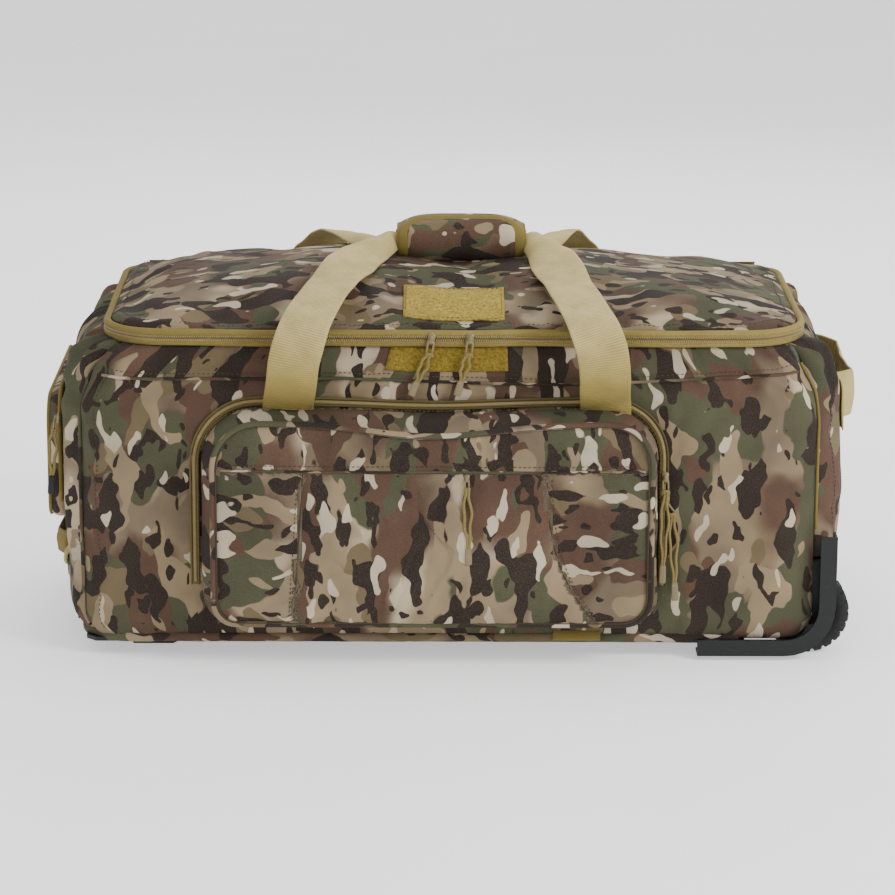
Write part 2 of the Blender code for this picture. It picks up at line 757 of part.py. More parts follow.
def cross_bar(name, x_low, x_high, height, kind, origin, holes):
    """A moulded bar across both tubes, with square holes where a tube slides through."""
    low, high = TROLLEY_YS[0] - 0.014, TROLLEY_YS[1] + 0.014
    bar = block(
        name,
        (x_low, low, TROLLEY_Z - height / 2),
        (x_high, high, TROLLEY_Z + height / 2),
        kind,
        origin,
        edge=0.0012,
    )
    for i, y in enumerate(TROLLEY_YS):
        if holes:
            h = holes / 2
            hole = cutter(f"{name}_{i}", (-0.6, y - h, TROLLEY_Z - h), (0.6, y + h, TROLLEY_Z + h))
            combine(bar, hole, "DIFFERENCE")
    return bar


def make_trolley():
    origin = (CUP_BACK_X, 0.02, TROLLEY_Z)
    frame = cross_bar("trolley_outer_frame", 0.2680, 0.2870, 0.0300, "aluminium", None, 0)
    for name, y in zip(("front", "rear"), TROLLEY_YS):
        outer = f"join_outer_tube_{name}"
        tube = square_tube(outer, CUP_BACK_X + 0.0045, 0.2700, y, OUTER_TUBE, "aluminium", origin)
        combine(frame, tube, "UNION")
        square_tube(f"trolley_middle_tube_{name}", -0.3290, 0.2620, y, MIDDLE_TUBE, "aluminium", origin)
        square_tube(f"trolley_inner_tube_{name}", -0.3425, 0.2450, y, INNER_TUBE, "aluminium", origin)
    cross_bar("trolley_middle_yoke", -0.3370, -0.3293, 0.0220, "black_plastic", origin, INNER_TUBE + 2 * GAP)
    cup_low, cup_high = (-0.3755, -0.0960, 0.0200), (CUP_BACK_X + 0.0040, 0.1360, 0.0585)
    cup = block("trolley_handle_cup", cup_low, cup_high, "black_plastic", edge=0.0010)
    inside = cutter("cup", (-0.42, -0.0930, 0.0225), (CUP_BACK_X, 0.1330, 0.0560))
    combine(cup, inside, "DIFFERENCE")
    for i, y in enumerate(TROLLEY_YS):
        h = MIDDLE_TUBE / 2 + GAP
        hole = cutter(f"cup_{i}", (-0.36, y - h, TROLLEY_Z - h), (-0.30, y + h, TROLLEY_Z + h))
        combine(cup, hole, "DIFFERENCE")
    low, high = TROLLEY_YS[0] - 0.011, TROLLEY_YS[1] + 0.011
    near, far = -0.3428, -0.3795
    outline = rounded(far, near, low, high, (0.010, 0.001, 0.001, 0.010), 3)
    grip = prism("trolley_grip", outline, "z", TROLLEY_Z - 0.0100, TROLLEY_Z + 0.0100, "black_plastic", origin)
    gap = cutter("grip", (far + 0.0165, low + 0.019, 0.0), (near + 0.01, high - 0.019, 0.1))
    combine(grip, gap, "DIFFERENCE")
    well = cutter("button", (-0.40, 0.0070, TROLLEY_Z - 0.0055), (far + 0.0105, 0.0330, TROLLEY_Z + 0.0055))
    combine(grip, well, "DIFFERENCE")
    button_low, button_high = (far - 0.0025, 0.0075, TROLLEY_Z - 0.0050), (far + 0.0035, 0.0325, TROLLEY_Z + 0.0050)
    block("trolley_button", button_low, button_high, "grey_plastic", (far, 0.02, TROLLEY_Z), edge=0.0008)


clear_scene()
make_walls()
make_base()
make_mouth()
make_lid()
make_shoulder_strip()
make_front_pocket()
make_zip_pulls()
make_handles()
make_grab_handles()
make_end_pocket()
make_running_gear()
make_trolley()
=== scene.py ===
"""Looks for the rolling duffel bag: camouflage, webbing, zips, pulls, plastic, wheels and a studio."""

import json
import math

import bpy
import numpy as np
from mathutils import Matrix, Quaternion, Vector


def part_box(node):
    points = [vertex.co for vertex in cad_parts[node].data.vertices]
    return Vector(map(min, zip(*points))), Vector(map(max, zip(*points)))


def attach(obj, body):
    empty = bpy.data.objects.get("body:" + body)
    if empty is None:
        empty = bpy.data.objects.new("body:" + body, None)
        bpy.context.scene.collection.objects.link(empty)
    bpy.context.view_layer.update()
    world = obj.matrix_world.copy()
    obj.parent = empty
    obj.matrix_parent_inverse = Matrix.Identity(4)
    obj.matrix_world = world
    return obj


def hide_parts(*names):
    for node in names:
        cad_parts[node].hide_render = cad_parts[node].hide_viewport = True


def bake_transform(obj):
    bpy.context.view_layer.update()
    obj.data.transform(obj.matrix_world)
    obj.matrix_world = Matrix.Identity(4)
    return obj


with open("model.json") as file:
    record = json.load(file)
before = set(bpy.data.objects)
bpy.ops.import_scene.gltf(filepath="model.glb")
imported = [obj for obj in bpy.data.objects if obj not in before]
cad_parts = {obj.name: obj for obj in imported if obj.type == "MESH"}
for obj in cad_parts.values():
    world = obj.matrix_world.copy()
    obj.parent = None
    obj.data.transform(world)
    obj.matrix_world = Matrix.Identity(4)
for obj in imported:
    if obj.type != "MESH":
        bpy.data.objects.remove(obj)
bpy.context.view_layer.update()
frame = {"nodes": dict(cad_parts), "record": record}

# ---------------------------------------------------------------- sizes, in metres

# Body shell: height, left, right, front, rear, corner radius, bulge of the ends
SHELL_LEVELS = np.array(
    [
        (0.0195, -0.364, 0.370, -0.1590, 0.1990, 0.045, 0.000),
        (0.0380, -0.377, 0.379, -0.1650, 0.2050, 0.045, 0.001),
        (0.1500, -0.380, 0.380, -0.1650, 0.2050, 0.050, 0.004),
        (0.2620, -0.379, 0.380, -0.1650, 0.2050, 0.050, 0.004),
        (0.2900, -0.366, 0.369, -0.1635, 0.2030, 0.052, 0.002),
        (0.3190, -0.338, 0.348, -0.1520, 0.1680, 0.060, 0.000),
    ]
)
PANEL_COLUMNS = (120, 60, 120, 60)
SHELL_ROWS = 52
SHELL_THICK = 0.0035
CROSS_SEAM_Z = 0.2830
CROSS_SEAM_RISE, CROSS_SEAM_SPAN = 0.0055, 0.34
CROSS_SEAM_WAVE, CROSS_SEAM_PITCH = 0.0022, 14.0
BASE_WELT_Z = 0.0215
# Mouth and zip
MOUTH = (-0.336, 0.346, -0.150, 0.164)
MOUTH_RADIUS = 0.060
REAR_MOUTH_RADIUS = 0.032
ZIP_LOW_Z, ZIP_MID_Z, ZIP_HIGH_Z = 0.3212, 0.3257, 0.3303
ROLL_RADIUS = 0.0039
TEETH_PITCH = 0.0022
# Lid
LID_BASE_Z = 0.3335
LID_CROWN, LID_CROWN_SLOPE = 0.037, -0.022
# Hinge tape, height and depth of each row
HINGE_TAPE_ZY = (
    (0.3140, 0.1725),
    (0.3195, 0.1716),
    (0.3250, 0.1700),
    (0.3300, 0.1692),
    (0.3345, 0.1676),
    (0.3385, 0.1580),
)
# Front pocket
POCKET_BACK_Y, POCKET_FRONT_Y = -0.1668, -0.2043
YOKE_Z = 0.2040
# Handles
STRAP_HALF = 0.0250
STRAP_THICK = 0.0024
WRAP_X = (-0.0500, 0.0750)
WRAP_CENTRE = (0.0140, 0.3945)
WRAP_RADII = (0.0240, 0.0208)
FLAP_EDGE = 104.0
# Wheels
WHEEL_RADIUS, WHEEL_WIDTH = 0.042, 0.030
# Camera: degrees, metres, and the focal length in the picture's own pixels
CAMERA_AZIMUTH, CAMERA_ELEVATION, CAMERA_ROLL = -0.44, 14.55, 0.26
CAMERA_DISTANCE = 3.61
CAMERA_FOCAL, IMAGE_WIDTH = 3500, 895


# ---------------------------------------------------------------- materials


class Shader:
    """Short calls for building a node tree round one Principled BSDF."""

    def __init__(self, name):
        self.material = bpy.data.materials.new(name)
        self.material.use_nodes = True
        self.tree = self.material.node_tree
        self.bsdf = self.tree.nodes["Principled BSDF"]

    def put(self, socket, value):
        if isinstance(value, bpy.types.NodeSocket):
            self.tree.links.new(value, socket)
        elif hasattr(value, "__len__") and len(value) == 3 and socket.type == "RGBA":
            socket.default_value = (*value, 1.0)
        else:
            socket.default_value = value

    def node(self, kind, inputs, **settings):
        made = self.tree.nodes.new(kind)
        for key, value in settings.items():
            setattr(made, key, value)
        for key, value in inputs.items():
            self.put(made.inputs[key], value)
        return made

    def cloth(self):
        return self.node("ShaderNodeAttribute", {}, attribute_name="cloth").outputs["Vector"]

    def place(self):
        return self.node("ShaderNodeTexCoord", {}).outputs["Object"]

    def scaled(self, vector, scale, offset=(0.0, 0.0, 0.0)):
        made = self.node("ShaderNodeMapping", {"Vector": vector, "Scale": scale, "Location": offset})
        return made.outputs["Vector"]

    def noise(self, vector, scale, detail=1.5, rough=0.5, warp=0.0):
        inputs = {"Vector": vector, "Scale": scale, "Detail": detail, "Roughness": rough, "Distortion": warp}
        return self.node("ShaderNodeTexNoise", inputs).outputs["Fac"]

    def wave(self, vector, scale, direction):
        inputs = {"Vector": vector, "Scale": scale, "Distortion": 0.0}
        return self.node("ShaderNodeTexWave", inputs, bands_direction=direction).outputs["Fac"]

    def ramp(self, value, low, high, to=(0.0, 1.0)):
        inputs = {"Value": value, "From Min": low, "From Max": high, "To Min": to[0], "To Max": to[1]}
        return self.node("ShaderNodeMapRange", inputs, interpolation_type="SMOOTHSTEP").outputs["Result"]

    def math(self, operation, first, second):
        return self.node("ShaderNodeMath", {0: first, 1: second}, operation=operation).outputs[0]

    def mix(self, factor, first, second, blend="MIX"):
        made = self.tree.nodes.new("ShaderNodeMix")
        made.data_type = "RGBA"
        made.blend_type = blend
        for key, value in (("Factor_Float", factor), ("A_Color", first), ("B_Color", second)):
            socket = next(s for s in made.inputs if s.identifier == key)
            self.put(socket, value)
        return next(s for s in made.outputs if s.identifier == "Result_Color")

    def bump(self, height, distance, strength=1.0):
        inputs = {"Height": height, "Distance": distance, "Strength": strength}
        self.put(self.bsdf.inputs["Normal"], self.node("ShaderNodeBump", inputs).outputs["Normal"])

    def surface(self, colour, rough, metal=0.0, sheen=0.0, specular=0.5):
        self.put(self.bsdf.inputs["Base Color"], colour)
        self.put(self.bsdf.inputs["Roughness"], rough)
        self.bsdf.inputs["Metallic"].default_value = metal
        self.bsdf.inputs["Sheen Weight"].default_value = sheen
        self.bsdf.inputs["Sheen Roughness"].default_value = 0.5
        self.bsdf.inputs["Specular IOR Level"].default_value = specular
        return self.material


# Print colours, linear
TAN, GREY_TAN, PALE = (0.275, 0.205, 0.120), (0.170, 0.128, 0.082), (0.500, 0.400, 0.270)
GREEN, BROWN = (0.062, 0.066, 0.034), (0.088, 0.046, 0.030)
MUSTARD, DARK, CREAM = (0.150, 0.112, 0.058), (0.016, 0.009, 0.008), (0.520, 0.440, 0.320)


def camouflage(name, stretch=1.0, shade=1.0):
    """A generic blotched print of soft washes, hard-edged patches, dark blobs and pale flecks."""
    s = Shader(name)
    cloth = s.cloth()
    wiggle = s.node("ShaderNodeTexNoise", {"Vector": cloth, "Scale": 60.0, "Detail": 0.5}).outputs["Color"]
    centred = s.node("ShaderNodeVectorMath", {0: wiggle, 1: (0.5, 0.5, 0.5)}, operation="SUBTRACT").outputs[0]
    nudge = s.node("ShaderNodeVectorMath", {0: centred, "Scale": 0.012}, operation="SCALE").outputs[0]
    warped = s.node("ShaderNodeVectorMath", {0: cloth, 1: nudge}, operation="ADD").outputs[0]

    def layer(size, tall, seed, low, high, detail=0.6):
        scale = (1.0 / size, 1.0 / (size * tall * stretch), 1.0 / size)
        vector = s.scaled(warped, scale, (seed * 3.7, seed * 1.9, seed * 5.3))
        return s.ramp(s.noise(vector, 1.0, detail, 0.45), low, high)

    colour = s.mix(layer(0.085, 1.3, 1, 0.40, 0.62), TAN, GREY_TAN)
    colour = s.mix(layer(0.055, 1.6, 2, 0.52, 0.68), colour, PALE)
    colour = s.mix(layer(0.075, 1.5, 3, 0.46, 0.58), colour, BROWN)
    colour = s.mix(layer(0.080, 1.6, 4, 0.505, 0.515), colour, GREEN)
    colour = s.mix(layer(0.042, 1.8, 5, 0.585, 0.591), colour, BROWN)
    colour = s.mix(layer(0.050, 1.4, 6, 0.660, 0.666), colour, MUSTARD)
    colour = s.mix(layer(0.033, 2.0, 7, 0.605, 0.611), colour, TAN)
    colour = s.mix(layer(0.025, 2.4, 8, 0.592, 0.600), colour, DARK)
    colour = s.mix(layer(0.013, 2.2, 9, 0.650, 0.660), colour, DARK)
    colour = s.mix(layer(0.016, 2.6, 10, 0.665, 0.677), colour, CREAM)
    speckle = s.noise(cloth, 900.0, 2.0, 0.7)
    colour = s.mix(s.ramp(speckle, 0.35, 0.70, (0.0, 0.13)), colour, (0.33, 0.26, 0.17))
    soil = s.noise(cloth, 9.0, 3.0, 0.6)
    # The soil mottle varies at random; shade scales the whole print darker, which on the lid's copy is
    # painted shade.
    dim = s.ramp(soil, 0.30, 0.70, (0.74 * shade, 1.10 * shade))
    grey = s.node("ShaderNodeCombineColor", {0: dim, 1: dim, 2: dim}).outputs[0]
    colour = s.mix(1.0, colour, grey, "MULTIPLY")
    weave = s.math("MULTIPLY", s.wave(cloth, 330.0, "X"), s.wave(cloth, 330.0, "Y"))
    creases = s.math("MULTIPLY", s.noise(cloth, 95.0, 4.0, 0.6), 2.2)
    s.bump(s.math("ADD", weave, creases), 0.00045, 0.8)
    return s.surface(colour, s.ramp(speckle, 0.3, 0.7, (0.76, 0.92)), sheen=0.02, specular=0.20)


def webbing(name, low_colour, high_colour, rib=620.0, pale_from=0.0, pale_to=1.0):
    """Woven tape whose ribs run across it. The cloth's second coordinate runs along the tape."""
    s = Shader(name)
    cloth = s.cloth()
    along = s.node("ShaderNodeSeparateXYZ", {0: cloth}).outputs["Y"]
    ribs = s.wave(cloth, rib, "Y")
    twill = s.wave(s.scaled(cloth, (1.0, 1.0, 1.0), (0.0, 0.0, 0.0)), rib * 0.55, "DIAGONAL")
    # The tone ramps paler along the tape; on the carry straps this is partly a smoother weave and partly
    # painted light from above on the upper run.
    tone = s.mix(s.ramp(along, pale_from, pale_to), low_colour, high_colour)
    blotch = s.ramp(s.noise(cloth, 30.0, 4.0, 0.65), 0.3, 0.7, (0.0, 0.35))
    tone = s.mix(blotch, tone, [c * 0.62 for c in low_colour])
    fibre = s.math("MULTIPLY", ribs, 0.42)
    tone = s.mix(fibre, tone, [c * 0.45 for c in low_colour])
    height = s.math("ADD", s.math("MULTIPLY", ribs, 0.7), s.math("MULTIPLY", twill, 0.5))
    fuzz = s.noise(cloth, 1500.0, 2.0, 0.6)
    s.bump(s.math("ADD", height, fuzz), 0.00035, 0.75)
    return s.surface(tone, 0.82, sheen=0.04, specular=0.22)


def fuzzy(name, colour):
    """Hook-and-loop tape: matted loops with a mottled nap."""
    s = Shader(name)
    cloth = s.cloth()
    nap = s.noise(cloth, 420.0, 5.0, 0.75)
    clumps = s.noise(cloth, 110.0, 3.0, 0.6)
    tone = s.mix(s.ramp(nap, 0.30, 0.70), [c * 0.42 for c in colour], [c * 1.25 for c in colour])
    tone = s.mix(s.ramp(clumps, 0.45, 0.75, (0.0, 0.5)), tone, [c * 0.6 for c in colour])
    s.bump(s.math("ADD", nap, s.math("MULTIPLY", clumps, 0.8)), 0.0011, 0.9)
    return s.surface(tone, 0.95, sheen=0.04, specular=0.12)


def plastic(name, colour, grain, depth, rough):
    s = Shader(name)
    place = s.place()
    pebbles = s.node("ShaderNodeTexVoronoi", {"Vector": place, "Scale": grain}, feature="SMOOTH_F1").outputs[
        "Distance"
    ]
    scuffs = s.noise(s.scaled(place, (1.0, 1.0, 4.0)), 38.0, 6.0, 0.7)
    tone = s.mix(s.ramp(scuffs, 0.52, 0.78, (0.0, 0.55)), colour, [c * 1.9 + 0.003 for c in colour])
    s.bump(pebbles, depth, 0.6)
    return s.surface(tone, s.ramp(scuffs, 0.3, 0.7, (rough - 0.08, rough + 0.12)), specular=0.28)


def metal(name, colour, rough, direction="X", streak=260.0):
    s = Shader(name)
    stretch = {"X": (0.03, 1.0, 1.0), "Y": (1.0, 0.03, 1.0)}[direction]
    brushed = s.noise(s.scaled(s.place(), stretch), streak, 3.0, 0.7)
    tone = s.mix(s.ramp(brushed, 0.35, 0.65), [c * 0.8 for c in colour], colour)
    s.bump(brushed, 0.00008, 0.4)
    return s.surface(tone, s.ramp(brushed, 0.3, 0.7, (rough - 0.07, rough + 0.1)), metal=1.0)


def enamel(name, colour):
    """Painted cast metal, worn to bare metal on its high spots."""
    s = Shader(name)
    place = s.place()
    wear = s.noise(place, 700.0, 4.0, 0.7)
    edge = s.node("ShaderNodeNewGeometry", {}).outputs["Pointiness"]
    worn = s.math("MULTIPLY", s.ramp(edge, 0.50, 0.60), s.ramp(wear, 0.40, 0.62))
    tone = s.mix(worn, colour, (0.45, 0.40, 0.30))
    s.bump(wear, 0.0001, 0.4)
    return s.surface(tone, s.ramp(wear, 0.3, 0.7, (0.32, 0.55)), metal=0.35)


def braid(name, colour):
    """Round cord with crossing strands, along the object's own coordinates."""
    s = Shader(name)
    place = s.place()
    strands = s.math(
        "MULTIPLY", s.wave(s.scaled(place, (1, 1, 1)), 420.0, "DIAGONAL"), s.wave(place, 560.0, "Z")
    )
    fuzz = s.noise(place, 900.0, 3.0, 0.7)
    # Darker where the strands dip: painted shade in the gaps between the strands.
    tone = s.mix(s.ramp(strands, 0.05, 0.5), [c * 0.45 for c in colour], colour)
    tone = s.mix(s.ramp(fuzz, 0.4, 0.7, (0.0, 0.4)), tone, [min(1.0, c * 1.35) for c in colour])
    s.bump(s.math("ADD", strands, fuzz), 0.0004, 0.8)
    return s.surface(tone, 0.85, sheen=0.03, specular=0.2)


def floor_paper(name):
    s = Shader(name)
    grain = s.noise(s.place(), 3.0, 3.0, 0.5)
    tone = s.mix(s.ramp(grain, 0.3, 0.7), (0.86, 0.86, 0.86), (0.89, 0.89, 0.89))
    s.bsdf.inputs["Emission Color"].default_value = (1.0, 1.0, 1.0, 1.0)
    s.bsdf.inputs["Emission Strength"].default_value = 0.62
    return s.surface(tone, 0.9, specular=0.1)


def lining_cloth(name):
    s = Shader(name)
    cloth = s.cloth()
    grid = s.math("MAXIMUM", s.wave(cloth, 60.0, "X"), s.wave(cloth, 60.0, "Y"))
    tone = s.mix(s.ramp(grid, 0.92, 1.0), (0.050, 0.045, 0.034), (0.085, 0.076, 0.055))
    tone = s.mix(s.ramp(s.noise(cloth, 20.0, 3.0), 0.4, 0.7, (0.0, 0.4)), tone, (0.03, 0.028, 0.022))
    s.bump(s.noise(cloth, 130.0, 4.0), 0.0006, 0.7)
    return s.surface(tone, 0.6, sheen=0.1, specular=0.4)


OLIVE, OLIVE_DARK, OLIVE_PALE = (0.345, 0.262, 0.072), (0.225, 0.165, 0.040), (0.620, 0.500, 0.220)
CAMO = camouflage("camo_cloth")
# The lid's copy is 2% darker: painted shade, to tone down the brighter light on the lid's top face.
CAMO_LID_SHADED = camouflage("camo_cloth_lid_shaded", stretch=0.62, shade=0.98)
LINING = lining_cloth("dark_lining")
# The carry webbing turns paler up its run: partly a different weave, partly painted light from above.
STRAP_CLOTH = webbing("carry_webbing", OLIVE, OLIVE_PALE, 130.0, 0.055, 0.130)
TAPE = webbing("olive_binding", OLIVE_DARK, OLIVE, 420.0)
DARK_TAPE = webbing("dark_olive_binding", (0.100, 0.075, 0.026), (0.190, 0.140, 0.045), 420.0)
PALE_TAPE = webbing("pale_webbing", OLIVE, OLIVE_PALE, 130.0, -0.2, 0.1)
LOOP_TAPE = fuzzy("loop_tape", (0.400, 0.295, 0.060))
HOOK_TAPE = fuzzy("hook_tape", (0.225, 0.155, 0.024))
COIL = plastic("zip_coil", (0.270, 0.205, 0.085), 900.0, 0.0001, 0.45)
THREAD = braid("stitch_thread", (0.270, 0.205, 0.070))
DARK_THREAD = braid("dark_thread", (0.085, 0.062, 0.036))
CORD = braid("paracord", (0.330, 0.250, 0.085))
TIP = plastic("cord_tip", (0.190, 0.150, 0.078), 1300.0, 0.00008, 0.42)
ENAMEL = enamel("slider_enamel", (0.200, 0.160, 0.075))
BLACK = plastic("black_moulding", (0.010, 0.011, 0.011), 1100.0, 0.00022, 0.44)
RUBBER = plastic("tyre_rubber_skin", (0.016, 0.016, 0.017), 600.0, 0.00015, 0.72)
GREY = plastic("grey_moulding", (0.110, 0.112, 0.115), 1600.0, 0.00006, 0.38)
ALUMINIUM = metal("brushed_aluminium", (0.62, 0.62, 0.64), 0.32)
STEEL = metal("turned_steel", (0.56, 0.55, 0.54), 0.26, "Y")
CAD_MATERIALS = {
    "black_plastic": BLACK,
    "grey_plastic": GREY,
    "tyre_rubber": RUBBER,
    "aluminium": ALUMINIUM,
    "steel": STEEL,
    "slider_metal": ENAMEL,
}


# ---------------------------------------------------------------- mesh helpers


def add_mesh(name, verts, faces, material, cloth=None):
    mesh = bpy.data.meshes.new(name)
    mesh.from_pydata([tuple(map(float, v)) for v in verts], [], faces)
    mesh.materials.append(material)
    mesh.shade_smooth()
    if cloth is not None:
        attribute = mesh.attributes.new("cloth", "FLOAT_VECTOR", "POINT")
        attribute.data.foreach_set("vector", np.asarray(cloth, np.float32).ravel())
    obj = bpy.data.objects.new(name, mesh)
    bpy.context.scene.collection.objects.link(obj)
    return obj


def grid_faces(rows, columns, wrap_columns=False, wrap_rows=False):
    faces = []
    for i in range(rows if wrap_rows else rows - 1):
        for j in range(columns if wrap_columns else columns - 1):
            a, b = i * columns + j, i * columns + (j + 1) % columns
            k = (i + 1) % rows
            faces.append((a, b, k * columns + (j + 1) % columns, k * columns + j))
    return faces


def thicken(obj, thickness, lining=None, offset=-1.0):
    solid = obj.modifiers.new("thickness", "SOLIDIFY")
    solid.thickness = thickness
    solid.offset = offset
    solid.use_even_offset = True
    if lining:
        obj.data.materials.append(lining)
        solid.material_offset = 1
    return obj


def smooth(obj, levels=1):
    subdivision = obj.modifiers.new("smooth", "SUBSURF")
    subdivision.levels = levels
    subdivision.render_levels = levels
    return obj


def sheet_piece(name, points, material, cloth, closed=False, thick=0.0, lining=None, levels=0):
    """A cloth surface from a rows x columns x 3 array, with its cloth coordinates in the same shape."""
    rows, columns = points.shape[:2]
    faces = grid_faces(rows, columns, wrap_columns=closed)
    obj = add_mesh(name, points.reshape(-1, 3), faces, material, cloth.reshape(-1, 3))
    if thick:
        thicken(obj, thick, lining)
    if levels:
        smooth(obj, levels)
    return obj


def spline(points, count):
    """A smooth curve through the points, as count evenly spaced points."""
    p = np.asarray(points, float)
    ends = np.vstack([2 * p[0] - p[1], p, 2 * p[-1] - p[-2]])
    fine = []
    for i in range(1, len(ends) - 2):
        a, b, c, d = ends[i - 1 : i + 3]
        for t in np.linspace(0, 1, 24, endpoint=False):
            fine.append(
                0.5
                * (2 * b + (c - a) * t + (2 * a - 5 * b + 4 * c - d) * t**2 + (3 * b - a - 3 * c + d) * t**3)
            )
    fine.append(ends[-2])
    return resample(np.array(fine), count)


def lengths(path):
    steps = np.linalg.norm(np.diff(path, axis=0), axis=1)
    return np.concatenate([[0.0], np.cumsum(steps)])


def resample(path, count):
    path = np.asarray(path, float)
    along = lengths(path)
    want = np.linspace(0, along[-1], count)
    return np.stack([np.interp(want, along, path[:, k]) for k in range(path.shape[1])], axis=1)


def unit(v):
    return v / np.maximum(np.linalg.norm(v, axis=-1, keepdims=True), 1e-9)


def frames(path, closed=False):
    """Tangent and two cross directions at each point, carried along without twist."""
    if closed:
        tangent = unit(np.roll(path, -1, 0) - np.roll(path, 1, 0))
    else:
        tangent = unit(np.gradient(path, axis=0))
    first = np.array([0.0, 0.0, 1.0]) if abs(tangent[0][2]) < 0.9 else np.array([0.0, 1.0, 0.0])
    side = np.zeros_like(path)
    current = first
    for i, t in enumerate(tangent):
        current = current - t * (current @ t)
        current = current / np.linalg.norm(current)
        side[i] = current
    return tangent, side, np.cross(tangent, side)


def tube(name, path, radius, material, sides=10, closed=False, flat=1.0):
    """A round or flattened roll along a path. radius may be one value or one for each point."""
    path = np.asarray(path, float)
    _, up, across = frames(path, closed)
    radius = np.broadcast_to(np.asarray(radius, float), (len(path),))
    angles = np.linspace(0, 2 * math.pi, sides, endpoint=False)
    rings = (
        path[:, None]
        + up[:, None] * (np.cos(angles)[None, :, None] * radius[:, None, None])
        + across[:, None] * (np.sin(angles)[None, :, None] * radius[:, None, None] * flat)
    )
    faces = grid_faces(len(path), sides, wrap_columns=True, wrap_rows=closed)
    if not closed:
        faces.append(tuple(range(sides))[::-1])
        faces.append(tuple(range((len(path) - 1) * sides, len(path) * sides)))
    cloth = np.zeros(rings.shape)
    cloth[..., 0] = (angles * np.mean(radius))[None, :]
    cloth[..., 1] = lengths(path)[:, None]
    return add_mesh(name, rings.reshape(-1, 3), faces, material, cloth.reshape(-1, 3))


def merged(name, pieces, material):
    """Many small closed bodies, given as (verts, faces), as one mesh."""
    verts, faces = [], []
    for points, quads in pieces:
        start = len(verts)
        verts += list(points)
        faces += [tuple(start + i for i in quad) for quad in quads]
    verts = np.array(verts)
    return add_mesh(name, verts, faces, material, verts)


BOX_FACES = [(0, 1, 3, 2), (4, 6, 7, 5), (0, 4, 5, 1), (2, 3, 7, 6), (0, 2, 6, 4), (1, 5, 7, 3)]


def small_box(centre, x_axis, y_axis, z_axis):
    """A box from its centre and half axes, narrower at the far end of its first axis."""
    points = []
    for i in (-1, 1):
        taper = 1.0 if i < 0 else 0.72
        for j in (-1, 1):
            for k in (-1, 1):
                points.append(centre + i * x_axis + j * y_axis * taper + k * z_axis * taper)
    return points, BOX_FACES


def stitches(name, path, normals, body, material=None, length=0.0030, gap=0.0018, radius=0.00042):
    """A row of thread stitches that stands a little proud of the cloth."""
    path = np.asarray(path, float)
    along = lengths(path)
    normals = np.broadcast_to(np.asarray(normals, float), path.shape)
    bodies = []
    sections = ((0.0, 0.15), (0.22, 1.0), (0.78, 1.0), (1.0, 0.15))
    faces = grid_faces(4, 6, wrap_columns=True)
    for start in np.arange(gap, along[-1] - length, length + gap):
        points = []
        for share, size in sections:
            at = np.array([np.interp(start + length * share, along, path[:, k]) for k in range(3)])
            out = unit(np.array([np.interp(start, along, normals[:, k]) for k in range(3)]))
            ahead = np.array([np.interp(start + length, along, path[:, k]) for k in range(3)])
            behind = np.array([np.interp(start, along, path[:, k]) for k in range(3)])
            side = unit(np.cross(ahead - behind, out))
            for a in np.linspace(0, 2 * math.pi, 6, endpoint=False):
                lift = out * (math.sin(a) * 0.8 + 0.35) * radius * size
                points.append(at + side * math.cos(a) * radius * size + lift)
        bodies.append((points, faces))
    obj = merged(name, bodies, material or THREAD)
    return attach(obj, body)


def zip_teeth(name, path, outward, across, half, body, phase=0.0, pitch=TEETH_PITCH):
    """One half of a zip's chain: a row of small teeth, each reaching over the line where the halves meet."""
    path = np.asarray(path, float)
    along = lengths(path)
    outward = np.broadcast_to(np.asarray(outward, float), path.shape)
    across = np.broadcast_to(np.asarray(across, float), path.shape)
    bodies = []
    for start in np.arange(pitch * (0.5 + phase), along[-1] - pitch, pitch):
        at, out, over = (
            np.array([np.interp(start, along, a[:, k]) for k in range(3)]) for a in (path, outward, across)
        )
        out, over = unit(out), unit(over)
        ahead = unit(np.cross(out, over))
        bodies.append(small_box(at + over * half * 0.35, -over * half, out * 0.0011, ahead * pitch * 0.36))
    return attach(merged(name, bodies, COIL), body)


def ripple(u, v, seed, size, count=7, stretch=1.0):
    """Smooth irregular waves in two directions, about -1 to 1. stretch above 1 makes folds long in v."""
    rng = np.random.default_rng(seed)
    total = np.zeros_like(u)
    for _ in range(count):
        angle = rng.uniform(0, math.pi)
        wave = size * rng.uniform(0.7, 1.6)
        bend = 0.6 * np.sin(2 * math.pi * v / (wave * 2.7) + rng.uniform(0, 6.3))
        line = (u * math.cos(angle) + v * math.sin(angle) / stretch) / wave
        total += np.sin(2 * math.pi * line + bend + rng.uniform(0, 6.3))
    return total / math.sqrt(count) / 1.4


def folds(u, v, seed, size, sharp=2.5, stretch=3.0):
    """Narrow ridges between broad hollows, 0 to 1, as in slack cloth."""
    return np.clip(1 - np.abs(ripple(u, v, seed, size, 5, stretch)), 0, 1) ** sharp


def near(distance, width):
    return np.exp(-((distance / width) ** 2))


def rounded_outline(left, right, low, high, radii, step):
    """A rounded rectangle as evenly spaced 2-D points, anticlockwise from the lower left."""
    centres = (
        (left + radii[0], low + radii[0], 180),
        (right - radii[1], low + radii[1], 270),
        (right - radii[2], high - radii[2], 0),
        (left + radii[3], high - radii[3], 90),
    )
    points = []
    for (cu, cv, start), radius in zip(centres, radii):
        for i in range(13):
            angle = math.radians(start + 90 * i / 12)
            points.append((cu + radius * math.cos(angle), cv + radius * math.sin(angle)))
    points.append(points[0])
    points = np.array(points)
    count = 2 * int(lengths(points)[-1] / step / 2)
    return resample(points, count + 1)[:-1]


